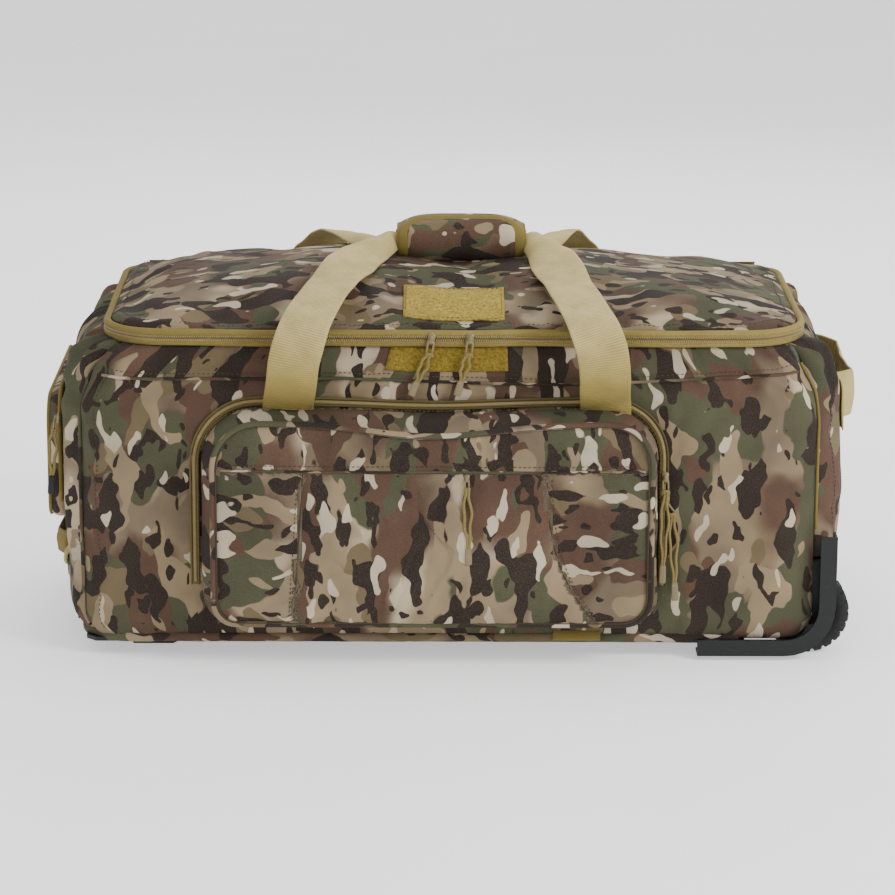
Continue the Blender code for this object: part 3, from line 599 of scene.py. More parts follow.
def simulate(points, faces, pin, pressure, slack, cap, frames_run=20, mass=0.25, bend=0.6):
    """Cloth pressed out from inside while its pinned points hold, moved at most cap from where it was."""
    mesh = bpy.data.meshes.new("trial")
    mesh.from_pydata([tuple(map(float, v)) for v in points], [], faces)
    obj = bpy.data.objects.new("trial", mesh)
    bpy.context.scene.collection.objects.link(obj)
    group = obj.vertex_groups.new(name="pin")
    levels = np.round(np.clip(pin, 0, 1), 2)
    for level in np.unique(levels):
        if level > 0:
            group.add(np.nonzero(levels == level)[0].tolist(), float(level), "REPLACE")
    cloth = obj.modifiers.new("cloth", "CLOTH")
    settings = cloth.settings
    settings.quality = 5
    settings.mass = mass
    settings.tension_stiffness = 30
    settings.compression_stiffness = 30
    settings.shear_stiffness = 12
    settings.bending_stiffness = bend
    settings.air_damping = 2.0
    settings.vertex_group_mass = "pin"
    settings.pin_stiffness = 1.0
    settings.shrink_min = -slack
    settings.use_pressure = True
    settings.uniform_pressure_force = pressure
    settings.effector_weights.gravity = 0.0
    cloth.collision_settings.use_collision = False
    scene = bpy.context.scene
    cloth.point_cache.frame_start = 1
    cloth.point_cache.frame_end = frames_run
    for number in range(1, frames_run + 1):
        scene.frame_set(number)
    result = obj.evaluated_get(bpy.context.evaluated_depsgraph_get())
    moved = np.empty(len(points) * 3, np.float32)
    result.data.vertices.foreach_get("co", moved)
    moved = moved.reshape(-1, 3).astype(float) - points
    scene.frame_set(1)
    bpy.data.objects.remove(obj)
    bpy.data.meshes.remove(mesh)
    distance = np.linalg.norm(moved, axis=1, keepdims=True)
    limit = cap * np.tanh(distance / cap)
    return points + moved * limit / np.maximum(distance, 1e-9)


# ---------------------------------------------------------------- body shell


def shell_profile(rows):
    """The levels at evenly spaced heights, with their corners eased."""
    z = np.linspace(SHELL_LEVELS[0, 0], SHELL_LEVELS[-1, 0], rows * 6)
    table = np.stack([np.interp(z, SHELL_LEVELS[:, 0], SHELL_LEVELS[:, k]) for k in range(1, 7)], axis=1)
    width = 17
    padded = np.vstack([[2 * table[0] - table[i] for i in range(width, 0, -1)], table])
    padded = np.vstack([padded, [2 * table[-1] - table[-1 - i] for i in range(1, width + 1)]])
    kernel = np.hanning(2 * width + 3)[1:-1]
    kernel /= kernel.sum()
    eased = np.stack([np.convolve(padded[:, k], kernel, "valid") for k in range(6)], axis=1)
    pick = np.linspace(0, len(z) - 1, rows).round().astype(int)
    return z[pick], eased[pick]


def shell_ring(values, count_by_side, rear_radius):
    """One level's outline, panel by panel, each from the middle of a corner to the middle of the next."""
    left, right, front, rear, radius, bulge = values
    radii = (radius, radius, rear_radius, rear_radius)
    corners = (
        (left + radius, front + radius),
        (right - radius, front + radius),
        (right - rear_radius, rear - rear_radius),
        (left + rear_radius, rear - rear_radius),
    )
    ring = []
    for side, count in enumerate(count_by_side):
        first, second = np.array(corners[side]), np.array(corners[(side + 1) % 4])
        first_radius, second_radius = radii[side], radii[(side + 1) % 4]
        middle = math.radians(270 + 90 * side)
        out = np.array([math.cos(middle), math.sin(middle)])
        points = []
        for a in np.linspace(-math.pi / 4, 0, 8):
            points.append(first + first_radius * np.array([math.cos(middle + a), math.sin(middle + a)]))
        start, end = first + out * first_radius, second + out * second_radius
        for t in np.linspace(0, 1, 24)[1:-1]:
            swell = bulge * math.sin(math.pi * t) * (1.0 if side in (1, 3) else 0.3)
            points.append(start + (end - start) * t + out * swell)
        for a in np.linspace(0, math.pi / 4, 8):
            points.append(second + second_radius * np.array([math.cos(middle + a), math.sin(middle + a)]))
        ring.append(resample(np.array(points), count + 1)[:-1])
    return np.vstack(ring)


def build_shell():
    z, table = shell_profile(SHELL_ROWS)
    points = np.zeros((SHELL_ROWS, sum(PANEL_COLUMNS), 3))
    for i in range(SHELL_ROWS):
        squared = np.clip((z[i] - 0.262) / 0.057, 0, 1)
        rear_radius = table[i][4] + (REAR_MOUTH_RADIUS - table[i][4]) * squared
        points[i, :, :2] = shell_ring(table[i], PANEL_COLUMNS, rear_radius)
        points[i, :, 2] = z[i]
    return points


def surface_normals(points, closed):
    """Normals of a grid of points. Columns run anticlockwise seen from above and rows run up."""
    if closed:
        around = np.roll(points, -1, 1) - np.roll(points, 1, 1)
    else:
        around = np.gradient(points, axis=1)
    up = np.gradient(points, axis=0)
    return unit(np.cross(around, up))


def cross_seam_z(x):
    """Height of the cross seam, a little lower in the middle and wavy along its length."""
    rise = CROSS_SEAM_RISE * (x / CROSS_SEAM_SPAN) ** 2
    return CROSS_SEAM_Z + rise - CROSS_SEAM_WAVE * np.sin(x * CROSS_SEAM_PITCH)


shell = build_shell()
shell_normals = surface_normals(shell, True)
column_side = np.repeat(np.arange(4), PANEL_COLUMNS)
panel_start = np.concatenate([[0], np.cumsum(PANEL_COLUMNS)])
X, Y, Z = shell[..., 0], shell[..., 1], shell[..., 2]
ring_length = np.concatenate([[0.0], np.cumsum(np.linalg.norm(np.diff(shell[26], axis=0), axis=1))])
S = np.broadcast_to(ring_length[None, :], X.shape)
corner_distance = np.full(X.shape, 1.0)
for start in panel_start:
    at = ring_length[min(start, len(ring_length) - 1)]
    corner_distance = np.minimum(corner_distance, np.abs(S - at))
corner_distance = np.minimum(corner_distance, np.abs(S - ring_length[0]))
seam_z = cross_seam_z(X)
on_front = np.broadcast_to(column_side[None, :] == 0, X.shape)
on_ends = np.broadcast_to((column_side[None, :] % 2) == 1, X.shape)
seam_distance = np.where(on_front, np.abs(Z - seam_z), 1.0)
edge_distance = np.minimum(Z - shell[0, 0, 2], shell[-1, 0, 2] - Z)
free = (1 - near(corner_distance, 0.012)) * (1 - near(edge_distance, 0.012))
free = free * (1 - near(seam_distance, 0.007))
behind_pocket = on_front & (X > -0.250) & (X < 0.210) & (Z < 0.262)
on_trolley_end = np.broadcast_to(column_side[None, :] == 3, X.shape)
behind_end_pocket = on_trolley_end & (Y > -0.128) & (Y < 0.160) & (Z > 0.085) & (Z < 0.270)
flattened = behind_pocket | behind_end_pocket
free = free * np.where(flattened, 0.15, 1.0)
top_corner = np.exp(-((corner_distance / 0.075) ** 2)) * np.clip((Z - 0.235) / 0.06, 0, 1)
shoulder_end = np.where(on_ends, np.clip((Z - 0.262) / 0.035, 0, 1), 0.0)
relief = free * (
    0.0030 * ripple(S, Z, 3, 0.150)
    + 0.0016 * ripple(S, Z, 4, 0.060, stretch=2.0)
    + 0.0024 * folds(S, Z, 5, 0.110, 3.0, 4.0)
)
relief += top_corner * (1 - near(edge_distance, 0.006)) * 0.0130 * (folds(S, Z, 12, 0.034, 2.0, 3.2) - 0.35)
shoulder_folds = 0.0050 + 0.0085 * (folds(S, Z, 23, 0.040, 2.2, 2.4) - 0.3)
relief += shoulder_end * (1 - near(edge_distance, 0.005)) * shoulder_folds
relief -= 0.0020 * near(seam_distance, 0.0022)
relief += np.where(on_front & (Z > seam_z), 0.0034 * near(Z - seam_z - 0.006, 0.006), 0.0)
relief += np.where(on_ends, 0.0060 * np.clip(np.sin(math.pi * (Z - 0.02) / 0.27), 0, 1) * free, 0.0)
relief -= 0.0022 * near(corner_distance, 0.0035) * (Z < 0.305)
shell_pin = np.clip(near(corner_distance, 0.004) + near(seam_distance, 0.004) + (edge_distance < 0.004), 0, 1)
shell_pin = np.maximum(shell_pin, np.where(flattened, 0.9, 0.0))
shell_faces = grid_faces(SHELL_ROWS, sum(PANEL_COLUMNS), wrap_columns=True)
shaped = shell + shell_normals * relief[..., None]
shaped = simulate(
    shaped.reshape(-1, 3), shell_faces, shell_pin.ravel(), 3.5, 0.020, 0.0055, frames_run=16
).reshape(shell.shape)


def shell_point(side, share, z, lift=0.0):
    """A point on the finished shell. share runs 0 to 1 from the middle of one corner to the next."""
    column = panel_start[side] + share * PANEL_COLUMNS[side]
    row = np.interp(z, shell[:, 0, 2], np.arange(SHELL_ROWS))
    r0, c0 = int(min(row, SHELL_ROWS - 1.001)), int(column)
    fr, fc = row - r0, column - c0
    total = shaped.shape[1]
    found = np.zeros(3)
    normal = np.zeros(3)
    for dr, wr in ((0, 1 - fr), (1, fr)):
        for dc, wc in ((0, 1 - fc), (1, fc)):
            found += shaped[r0 + dr, (c0 + dc) % total] * wr * wc
            normal += shell_normals[r0 + dr, (c0 + dc) % total] * wr * wc
    return found + unit(normal) * lift, unit(normal)


def front_share(x):
    """The share along the front panel at which the shell has this x, at mid height."""
    row = shell[26, : PANEL_COLUMNS[0], 0]
    return float(np.interp(x, row, np.arange(PANEL_COLUMNS[0]))) / PANEL_COLUMNS[0]


PANELS = ("front", "wheel_end", "rear", "trolley_end")
NODE_OF_PANEL = ("front_panel", "wheel_end_panel", "rear_panel", "trolley_end_panel")


def in_cutout(side, points):
    """Where an end panel is open for the wheels or the trolley."""
    y, z = points[:, 1], points[:, 2]
    if side == 1:
        return (z < 0.1005) & (y > -0.1590) & (y < 0.1990)
    if side == 3:
        return (z < 0.0590) & (y > -0.0990) & (y < 0.1390)
    return np.zeros(len(points), bool)


def make_panels():
    total = shaped.shape[1]
    for side, label in enumerate(PANELS):
        start, count = panel_start[side], PANEL_COLUMNS[side]
        columns = [(start + i) % total for i in range(count + 1)]
        points = shaped[:, columns]
        cloth = np.zeros(points.shape)
        cloth[..., 0] = (S[:, start] [:, None] + lengths(shell[26][columns])[None, :]) + side * 0.31
        cloth[..., 1] = points[..., 2]
        faces = grid_faces(SHELL_ROWS, count + 1)
        flat = points.reshape(-1, 3)
        middles = flat[np.array(faces)].mean(axis=1)
        keep = ~in_cutout(side, middles)
        faces = [f for f, k in zip(faces, keep) if k]
        obj = add_mesh(f"body_{label}_cloth", flat, faces, CAMO, cloth.reshape(-1, 3))
        thicken(obj, SHELL_THICK, LINING)
        smooth(obj)
        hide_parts(NODE_OF_PANEL[side])
        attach(obj, "bag")


def make_body_seams():
    """Piping up the four corners, the lapped cross seam, and the welt round the base."""
    for side, label in enumerate(("left_front", "right_front", "right_rear", "left_rear")):
        low = 0.132 if label.startswith("right") else 0.030
        path = [shell_point(side, 0.0, z, 0.0012)[0] for z in np.linspace(low, 0.300, 44)]
        width, skin = (0.0015, TAPE) if label.startswith("right") else (0.0019, CAMO)
        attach(tube(f"corner_piping_{label}", spline(path, 90), width, skin), "bag")
        inside = [shell_point(side, 0.0, z, -0.0034)[0] for z in np.linspace(low, 0.315, 60)]
        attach(tube(f"inner_binding_{label}", inside, 0.0034, LINING), "bag")
        share = 0.028 if side % 2 == 0 else 0.05
        path = [shell_point(side, share, z, 0.0006) for z in np.linspace(low, 0.285, 40)]
        stitches(f"corner_stitch_{label}", [p for p, _ in path], [n for _, n in path], "bag", DARK_THREAD)
    shares = np.linspace(0.02, 0.98, 110)
    lap, above = [], []
    for share in shares:
        x = shell_point(0, share, CROSS_SEAM_Z)[0][0]
        z = cross_seam_z(x)
        lap.append(shell_point(0, share, z + 0.0012, 0.0008)[0])
        above.append(shell_point(0, share, z + 0.0062, 0.0006))
    seam = tube("cross_seam_lap", lap, 0.0016, CAMO, flat=0.7)
    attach(seam, "bag")
    stitches("cross_seam_stitch", [p for p, _ in above], [n for _, n in above], "bag", DARK_THREAD)
    path = []
    for side in range(4):
        for share in np.linspace(0, 1, 40, endpoint=False):
            path.append(shell_point(side, share, BASE_WELT_Z, 0.0005)[0])
    path = [p for p in path if not (p[0] > 0.300 and -0.160 < p[1] < 0.200)]
    path = [p for p in path if p[0] < 0.300 or p[1] > 0.0]
    start = max(range(len(path)), key=lambda i: np.linalg.norm(np.subtract(path[i], path[i - 1])))
    path = path[start:] + path[:start]
    path = resample(np.array(path), 420)
    welt = tube("base_welt", path, 0.0050, CAMO, sides=12, flat=0.55)
    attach(welt, "bag")


def make_base_patch():
    """The olive tape that shows on the front of the base welt."""
    section = ((0.0008, -0.0052), (0.0046, -0.0040), (0.0056, 0.0), (0.0046, 0.0045), (0.0010, 0.0070))
    rows = []
    for x in np.linspace(0.104, 0.153, 16):
        point, normal = shell_point(0, front_share(x), 0.0240, 0.0)
        ring = []
        for lift, rise in section:
            ring.append(point + normal * lift + np.array([0, 0, rise]))
        rows.append(ring)
    points = np.array(rows).transpose(1, 0, 2)
    cloth = np.stack([points[..., 2], points[..., 0], points[..., 1]], axis=-1)
    obj = sheet_piece("base_patch", points, TAPE, cloth, thick=0.0012, levels=1)
    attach(obj, "bag")


make_panels()
make_body_seams()
make_base_patch()


# ---------------------------------------------------------------- mouth, zip and lid


def mouth_line(offset, z, count=420):
    """The U along the mouth, moved out by offset: rear left corner, round the front, to the rear right."""
    left, right, front, rear = MOUTH
    arcs = (
        (left + REAR_MOUTH_RADIUS, rear - REAR_MOUTH_RADIUS, REAR_MOUTH_RADIUS, 112, 180),
        (left + MOUTH_RADIUS, front + MOUTH_RADIUS, MOUTH_RADIUS, 180, 270),
        (right - MOUTH_RADIUS, front + MOUTH_RADIUS, MOUTH_RADIUS, 270, 360),
        (right - REAR_MOUTH_RADIUS, rear - REAR_MOUTH_RADIUS, REAR_MOUTH_RADIUS, 360, 428),
    )
    points = []
    for cx, cy, radius, first, last in arcs:
        for angle in np.radians(np.linspace(first, last, 14)):
            reach = radius + offset
            points.append((cx + reach * math.cos(angle), cy + reach * math.sin(angle)))
    flat = resample(np.array(points), count)
    return np.column_stack([flat, np.full(count, z)])


def make_zip():
    """Both halves of the lid's zip: a bound roll, a tape and a row of teeth on each."""
    middle = mouth_line(0.0042, ZIP_MID_Z)
    tangent = unit(np.gradient(middle, axis=0))
    out = np.cross(tangent, (0.0, 0.0, 1.0))
    wobble = 0.0006 * ripple(middle[:, 0], middle[:, 1], 31, 0.12)
    for body, label, z, sign, node in (
        ("bag", "body", ZIP_LOW_Z, -1, "body_zip_welt"),
        ("lid", "lid", ZIP_HIGH_Z, 1, "lid_zip_welt"),
    ):
        line = mouth_line(0.0038, z)
        line[:, 2] += wobble
        roll = tube(f"{label}_zip_roll", line, ROLL_RADIUS, TAPE, sides=14)
        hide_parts(node)
        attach(roll, body)
        groove = line + out * (ROLL_RADIUS * 0.96) + np.array([0, 0, -sign * 0.0004])
        stitches(f"{label}_zip_stitch", groove, out, body)
        tape_in = mouth_line(-0.0045, z + sign * 0.0005)
        tape_mid = mouth_line(0.0020, ZIP_MID_Z + sign * 0.0014)
        tape_out = mouth_line(0.0060, ZIP_MID_Z + sign * 0.0010)
        points = np.stack([tape_in, tape_mid, tape_out])
        along = np.broadcast_to(lengths(line), points.shape[:2])
        cloth = np.stack([np.zeros(points.shape[:2]), along, points[..., 2]], -1)
        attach(sheet_piece(f"{label}_zip_tape", points, TAPE, cloth, thick=0.0007), body)
        teeth = middle + out * 0.0022 + np.array([0, 0, sign * 0.0010])
        zip_teeth(f"{label}_zip_teeth", teeth, out, (0, 0, sign), 0.0013, body, phase=0.25 * (1 + sign))


LID_SHARES = np.concatenate([[1.0, 0.992, 0.98, 0.965, 0.945], np.linspace(0.92, 0.04, 34)])


def lid_grid():
    left, right, front, rear = MOUTH
    outline = rounded_outline(left, right, front, rear, (MOUTH_RADIUS, MOUTH_RADIUS, 0.03, 0.03), 0.0085)
    middle = np.array([(left + right) / 2, (front + rear) / 2])
    rings = np.array([middle + (outline - middle) * share for share in LID_SHARES])
    share = np.broadcast_to(LID_SHARES[:, None], rings.shape[:2])
    x, y = rings[..., 0], rings[..., 1]
    z = LID_BASE_Z + (LID_CROWN + LID_CROWN_SLOPE * x) * (1 - share**2.6)
    return np.stack([x, y, z], axis=-1), share


def capped_faces(rows, columns):
    """Rings of faces whose last ring, of an even number of points, is closed by a strip across it."""
    faces = grid_faces(rows, columns, wrap_columns=True)
    first = (rows - 1) * columns
    for k in range(columns // 2 - 1):
        faces.append((first + k, first + k + 1, first + columns - 2 - k, first + columns - 1 - k))
    return faces


def make_lid():
    points, share = lid_grid()
    x, y = points[..., 0], points[..., 1]
    loose = np.clip((1 - share) / 0.10, 0, 1)
    dents = 0.0026 * ripple(x, y, 41, 0.17) + 0.0020 * folds(y, x, 42, 0.10, 3.0, 3.0)
    ends = np.clip((np.abs(x - 0.005) - 0.22) / 0.10, 0, 1)
    dents += ends * 0.0062 * (folds(x, y, 43, 0.045, 2.0, 3.0) - 0.3)
    points[..., 2] += loose * dents
    points[..., 2] += 0.0030 * near(share - 0.972, 0.010)
    rows, columns = points.shape[:2]
    faces = capped_faces(rows, columns)
    pin = np.clip((share > 0.99) * 1.0 + near(np.hypot(x - 0.004, (y + 0.112) * 1.6), 0.05), 0, 1)
    flat = simulate(points.reshape(-1, 3), faces, pin.ravel(), 3.0, 0.015, 0.006, frames_run=16)
    flat[:, 2] = np.maximum(flat[:, 2], LID_BASE_Z)
    cloth = np.column_stack([flat[:, 1] * 1.25 + 0.9, flat[:, 0] * 0.8, flat[:, 2]])
    obj = add_mesh("lid_cloth", flat, faces, CAMO_LID_SHADED, cloth)
    thicken(obj, 0.0030, LINING)
    smooth(obj)
    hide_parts("lid_panel")
    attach(obj, "lid")
    return flat.reshape(rows, columns, 3)


def height_finder(grid):
    """A function giving the height of a surface at a 2-D point, from its nearest grid points."""
    flat = grid.reshape(-1, 3)

    def height(x, y):
        distance = np.hypot(flat[:, 0] - x, flat[:, 1] - y)
        nearest = np.argsort(distance)[:6]
        weight = 1 / (distance[nearest] + 1e-4) ** 2
        return float((flat[nearest, 2] * weight).sum() / weight.sum())

    return height


def make_lid_details(lid_height):
    """The edge stitching, the hinge tape at the rear, and the loop patch on the crown."""
    left, right, front, rear = MOUTH
    outline = rounded_outline(left, right, front, rear, (MOUTH_RADIUS, MOUTH_RADIUS, 0.03, 0.03), 0.006)
    middle = np.array([(left + right) / 2, (front + rear) / 2])
    inner = middle + (outline - middle) * 0.968
    path = np.array([(x, y, lid_height(x, y) + 0.0004) for x, y in inner])
    normals = np.broadcast_to((0.0, 0.0, 1.0), path.shape)
    stitches("lid_edge_stitch", path, normals, "lid", DARK_THREAD)
    rows = []
    for z, y in HINGE_TAPE_ZY:
        across = np.linspace(left + 0.019, right - 0.019, 90)
        rows.append([(x, y + 0.0004 * math.sin(x * 60), z) for x in across])
    points = np.array(rows)
    cloth = np.stack([points[..., 2], points[..., 0], points[..., 1]], -1)
    tape = sheet_piece("lid_hinge_tape", points, TAPE, cloth)
    thicken(tape, 0.0012)
    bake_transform(tape)
    rows = []
    for y in np.linspace(-0.1395, -0.0845, 16):
        rows.append([(x, y, lid_height(x, y) + 0.0022) for x in np.linspace(-0.0455, 0.0540, 26)])
    points = np.array(rows)
    points[..., 2] += 0.0007 * ripple(points[..., 0], points[..., 1], 51, 0.05)
    cloth = np.stack([points[..., 0], points[..., 1], points[..., 2]], -1)
    patch = sheet_piece("lid_loop_tape", points, LOOP_TAPE, cloth)
    thicken(patch, 0.0022)
    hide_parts("lid_loop_patch")
    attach(patch, "lid")
    x0, x1, y0, y1 = -0.0430, 0.0515, -0.1370, -0.0870
    loop = resample(np.array([(x0, y0), (x1, y0), (x1, y1), (x0, y1), (x0, y0)]), 120)
    path = np.array([(x, y, lid_height(x, y) + 0.0026) for x, y in loop])
    stitches("lid_loop_stitch", path, np.broadcast_to((0, -0.3, 1.0), path.shape), "lid")


def make_hook_strip():
    """The hook tape on the sloping shoulder under the sliders."""
    rows = []
    for z in np.linspace(0.2945, 0.3165, 8):
        row = []
        for x in np.linspace(-0.0685, 0.0575, 30):
            row.append(shell_point(0, front_share(x), z, 0.0016)[0])
        rows.append(row)
    points = np.array(rows)
    cloth = points[..., [0, 2, 1]].copy()
    strip = sheet_piece("shoulder_hook_tape", points, HOOK_TAPE, cloth)
    thicken(strip, 0.0016)
    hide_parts("front_hook_strip")
    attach(strip, "bag")


make_zip()
lid_surface = make_lid()
lid_height = height_finder(lid_surface)
make_lid_details(lid_height)
make_hook_strip()


# ---------------------------------------------------------------- front pocket


def pocket_outline(left, right, low, high, radii, dip, step=0.0050):
    outline = rounded_outline(left, right, low, high, radii, step)
    lift = np.clip((outline[:, 1] - (high - 0.05)) / 0.05, 0, 1)
    outline[:, 1] -= lift * dip * np.exp(-(((outline[:, 0] + 0.015) / 0.085) ** 2))
    return outline


def seam_left(z):
    return -0.1425 - 0.010 * np.clip((0.205 - z) / 0.15, 0, 1)


def seam_right(z):
    t = np.clip((0.205 - z) / 0.155, 0, 1)
    return 0.0945 + 0.006 * t + 0.044 * t**3.0


FACE_SHARES = np.concatenate([[1.0, 0.985, 0.965, 0.94], np.linspace(0.91, 0.03, 40)])


def make_pocket():
    back = pocket_outline(-0.2440, 0.2045, 0.0470, 0.2590, (0.022, 0.022, 0.050, 0.055), 0.004)
    face = pocket_outline(-0.2310, 0.1980, 0.0480, 0.2515, (0.022, 0.026, 0.042, 0.046), 0.0125)
    count = max(len(back), len(face))
    back = resample(np.vstack([back, back[:1]]), count + 1)[:-1]
    face = resample(np.vstack([face, face[:1]]), count + 1)[:-1]
    along = lengths(np.vstack([face, face[:1]]))[:-1]
    rows = []
    for t in np.linspace(0, 1, 12):
        ring = back + (face - back) * t
        y = POCKET_BACK_Y - 0.0006 + (POCKET_FRONT_Y - POCKET_BACK_Y + 0.002) * t
        puff = 0.0035 * math.sin(math.pi * t)
        middle = np.array([-0.016, 0.15])
        away = unit(ring - middle)
        crease = 0.0014 * ripple(along, np.full(count, t * 0.04), 61, 0.05) * math.sin(math.pi * t)
        ring = ring + away * (puff + crease[:, None])
        rows.append(np.column_stack([ring[:, 0], np.full(count, y), np.maximum(ring[:, 1], 0.0455)]))
    points = np.array(rows)
    cloth = np.zeros(points.shape)
    cloth[..., 0] = along[None, :] * 1.0 + 2.3
    cloth[..., 1] = (points[..., 1] - POCKET_BACK_Y)
    gusset = sheet_piece("pocket_gusset_cloth", points, CAMO, cloth, closed=True)
    thicken(gusset, 0.0022, LINING)
    smooth(gusset)
    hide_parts("pocket_gusset")
    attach(gusset, "front_pocket")
    middle = np.array([-0.016, 0.145])
    rings = np.array([middle + (face - middle) * share for share in FACE_SHARES])
    share = np.broadcast_to(FACE_SHARES[:, None], rings.shape[:2])
    x, z = rings[..., 0], rings[..., 1]
    out = 0.0060 * (1 - share**3.0) + 0.0012 * ripple(x, z, 71, 0.09) * (1 - share**6)
    out += 0.0016 * (folds(x, z, 72, 0.075, 2.5, 4.0) - 0.2) * (1 - share**6)
    below = z < YOKE_Z
    out += np.where(below, -0.0016 * near(z - YOKE_Z, 0.0035), 0.0016 * near(z - YOKE_Z, 0.012))
    left, right = seam_left(z), seam_right(z)
    out += np.where(below, -0.0024 * near(x - left, 0.0024) + 0.0030 * near(x - left - 0.012, 0.012), 0)
    out += np.where(below, -0.0026 * near(x - right, 0.0024) + 0.0020 * near(x - right + 0.012, 0.013), 0)
    middle_swell = 0.0030 * np.sin(np.pi * np.clip((x - left) / (right - left), 0, 1))
    out += np.where(below & (x > left) & (x < right), middle_swell, 0)
    y = POCKET_FRONT_Y + 0.0016 - out
    points = np.stack([x, y, z], axis=-1)
    rows_count, columns = points.shape[:2]
    faces = capped_faces(rows_count, columns)
    seam_pin = np.where(below, near(x - left, 0.003) + near(x - right, 0.003), 0) + near(z - YOKE_Z, 0.003)
    pin = np.clip((share > 0.98) * 1.0 + seam_pin, 0, 1)
    flat = simulate(points.reshape(-1, 3), faces, pin.ravel(), 2.0, 0.012, 0.003, frames_run=14)
    shift = np.where(below, np.where(x < left, 1.7, np.where(x > right, 2.9, 0.4)), 3.4).ravel()
    turn = (below & ((x < left) | (x > right))).ravel()
    u, v = flat[:, 0] + shift, flat[:, 2] + shift * 0.37
    cloth = np.column_stack([np.where(turn, v, u), np.where(turn, u, v), flat[:, 1]])
    obj = add_mesh("pocket_face_cloth", flat, faces, CAMO, cloth)
    thicken(obj, 0.0026, LINING)
    smooth(obj)
    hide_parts("pocket_face")
    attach(obj, "front_pocket")
    rim = np.column_stack([face[:, 0], np.full(count, POCKET_FRONT_Y + 0.0010), face[:, 1]])
    piping = tube("pocket_piping", rim, 0.0031, CAMO, sides=12, closed=True)
    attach(piping, "front_pocket")
    # A dark thread ring just inside the piping: painted shade in the groove between the piping and the face.
    inset = middle + (face - middle) * 0.985
    groove = np.column_stack([inset[:, 0], np.full(count, POCKET_FRONT_Y - 0.0008), inset[:, 1]])
    cord = tube("pocket_piping_painted_shade", groove, 0.0010, DARK_THREAD, sides=6, closed=True)
    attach(cord, "front_pocket")
    return flat, back


pocket_flat, pocket_back = make_pocket()


def pocket_y(x, z):
    distance = np.hypot(pocket_flat[:, 0] - x, pocket_flat[:, 2] - z)
    nearest = np.argsort(distance)[:5]
    weight = 1 / (distance[nearest] + 1e-4) ** 2
    return float((pocket_flat[nearest, 1] * weight).sum() / weight.sum())


def on_pocket(points, lift=0.0006):
    return np.array([(x, pocket_y(x, z) - lift, z) for x, z in points])


def make_pocket_details():
    """Lapped seams, stitching, the pocket's zip round its top, and the zigzag along the gusset."""
    yoke = on_pocket([(x, YOKE_Z + 0.0006) for x in np.linspace(-0.2235, 0.1910, 150)], 0.0002)
    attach(tube("yoke_lap", yoke, 0.0012, CAMO, sides=8), "front_pocket")
    # A dark thread line tucked just under the yoke lap: painted shadow below the lap.
    shadow = on_pocket([(x, YOKE_Z - 0.0008) for x in np.linspace(-0.2225, 0.1900, 150)], -0.0002)
    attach(tube("yoke_lap_painted_shadow", shadow, 0.0007, DARK_THREAD, sides=6), "front_pocket")
    facing = (0.0, -1.0, 0.0)
    rows = {
        "yoke_stitch": [(x, YOKE_Z + 0.0058) for x in np.linspace(-0.2200, 0.1880, 150)],
        "left_seam_stitch": [(seam_left(z) - 0.0050, z) for z in np.linspace(0.199, 0.056, 60)],
        "right_seam_stitch": [(seam_right(z) + 0.0050, z) for z in np.linspace(0.199, 0.060, 60)],
    }
    for name, points in rows.items():
        stitches(name, on_pocket(points, 0.0003), facing, "front_pocket", DARK_THREAD)
    # Dark thread lines laid in the dents of the two lower seams: painted shadow in the seam folds.
    for name, line in (("left", seam_left), ("right", seam_right)):
        path = on_pocket([(line(z), z) for z in np.linspace(0.2015, 0.0530, 90)], 0.0)
        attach(tube(f"{name}_seam_painted_shadow", path, 0.0009, DARK_THREAD, sides=6), "front_pocket")
    top = [p for p in pocket_back if p[1] > 0.075]
    start = max(range(len(top)), key=lambda i: np.linalg.norm(top[i] - top[i - 1]))
    line = resample(np.array(top[start:] + top[:start]), 260)
    out = unit(np.column_stack([np.gradient(line[:, 1]), -np.gradient(line[:, 0])]))
    for label, offset, width in (("inner", 0.0036, 0.0015), ("outer", 0.0104, 0.0015)):
        moved = line + out * offset
        path = np.column_stack([moved[:, 0], np.full(len(line), -0.1690), moved[:, 1]])
        roll = tube(f"pocket_zip_{label}", path, width, DARK_TAPE, sides=10, flat=0.8)
        if label == "outer":
            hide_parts("pocket_zip_track")
        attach(roll, "bag")
    middle = line + out * 0.0068
    rows = []
    for offset in (0.0020, 0.0068, 0.0115):
        moved = line + out * offset
        rows.append(np.column_stack([moved[:, 0], np.full(len(line), -0.1678), moved[:, 1]]))
    points = np.array(rows)
    along = np.broadcast_to(lengths(line), points.shape[:2])
    cloth = np.stack([np.zeros(points.shape[:2]), along, points[..., 1]], -1)
    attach(sheet_piece("pocket_zip_tape", points, DARK_TAPE, cloth, thick=0.0009), "bag")
    path = np.column_stack([middle[:, 0], np.full(len(line), -0.1692), middle[:, 1]])
    over = np.column_stack([out[:, 0], np.zeros(len(line)), out[:, 1]])
    zip_teeth("pocket_zip_teeth_outer", path, facing, over, 0.0013, "bag")
    zip_teeth("pocket_zip_teeth_inner", path, facing, -over, 0.0013, "bag", phase=0.5)
    zig, normals = [], []
    for i, (x, z) in enumerate(np.array(top[start:] + top[:start])[6:-6]):
        away = unit(np.array([x + 0.016, z - 0.15]))
        depth = -0.1745 - 0.0026 * (i % 2)
        zig.append((x + away[0] * 0.0026, depth, z + away[1] * 0.0026))
        normals.append((away[0], 0.0, away[1]))
    path = resample(np.array(zig), 700)
    stitches("gusset_zigzag", path, np.resize(normals, (700, 3)), "front_pocket", THREAD)


make_pocket_details()


# ---------------------------------------------------------------- carry handles


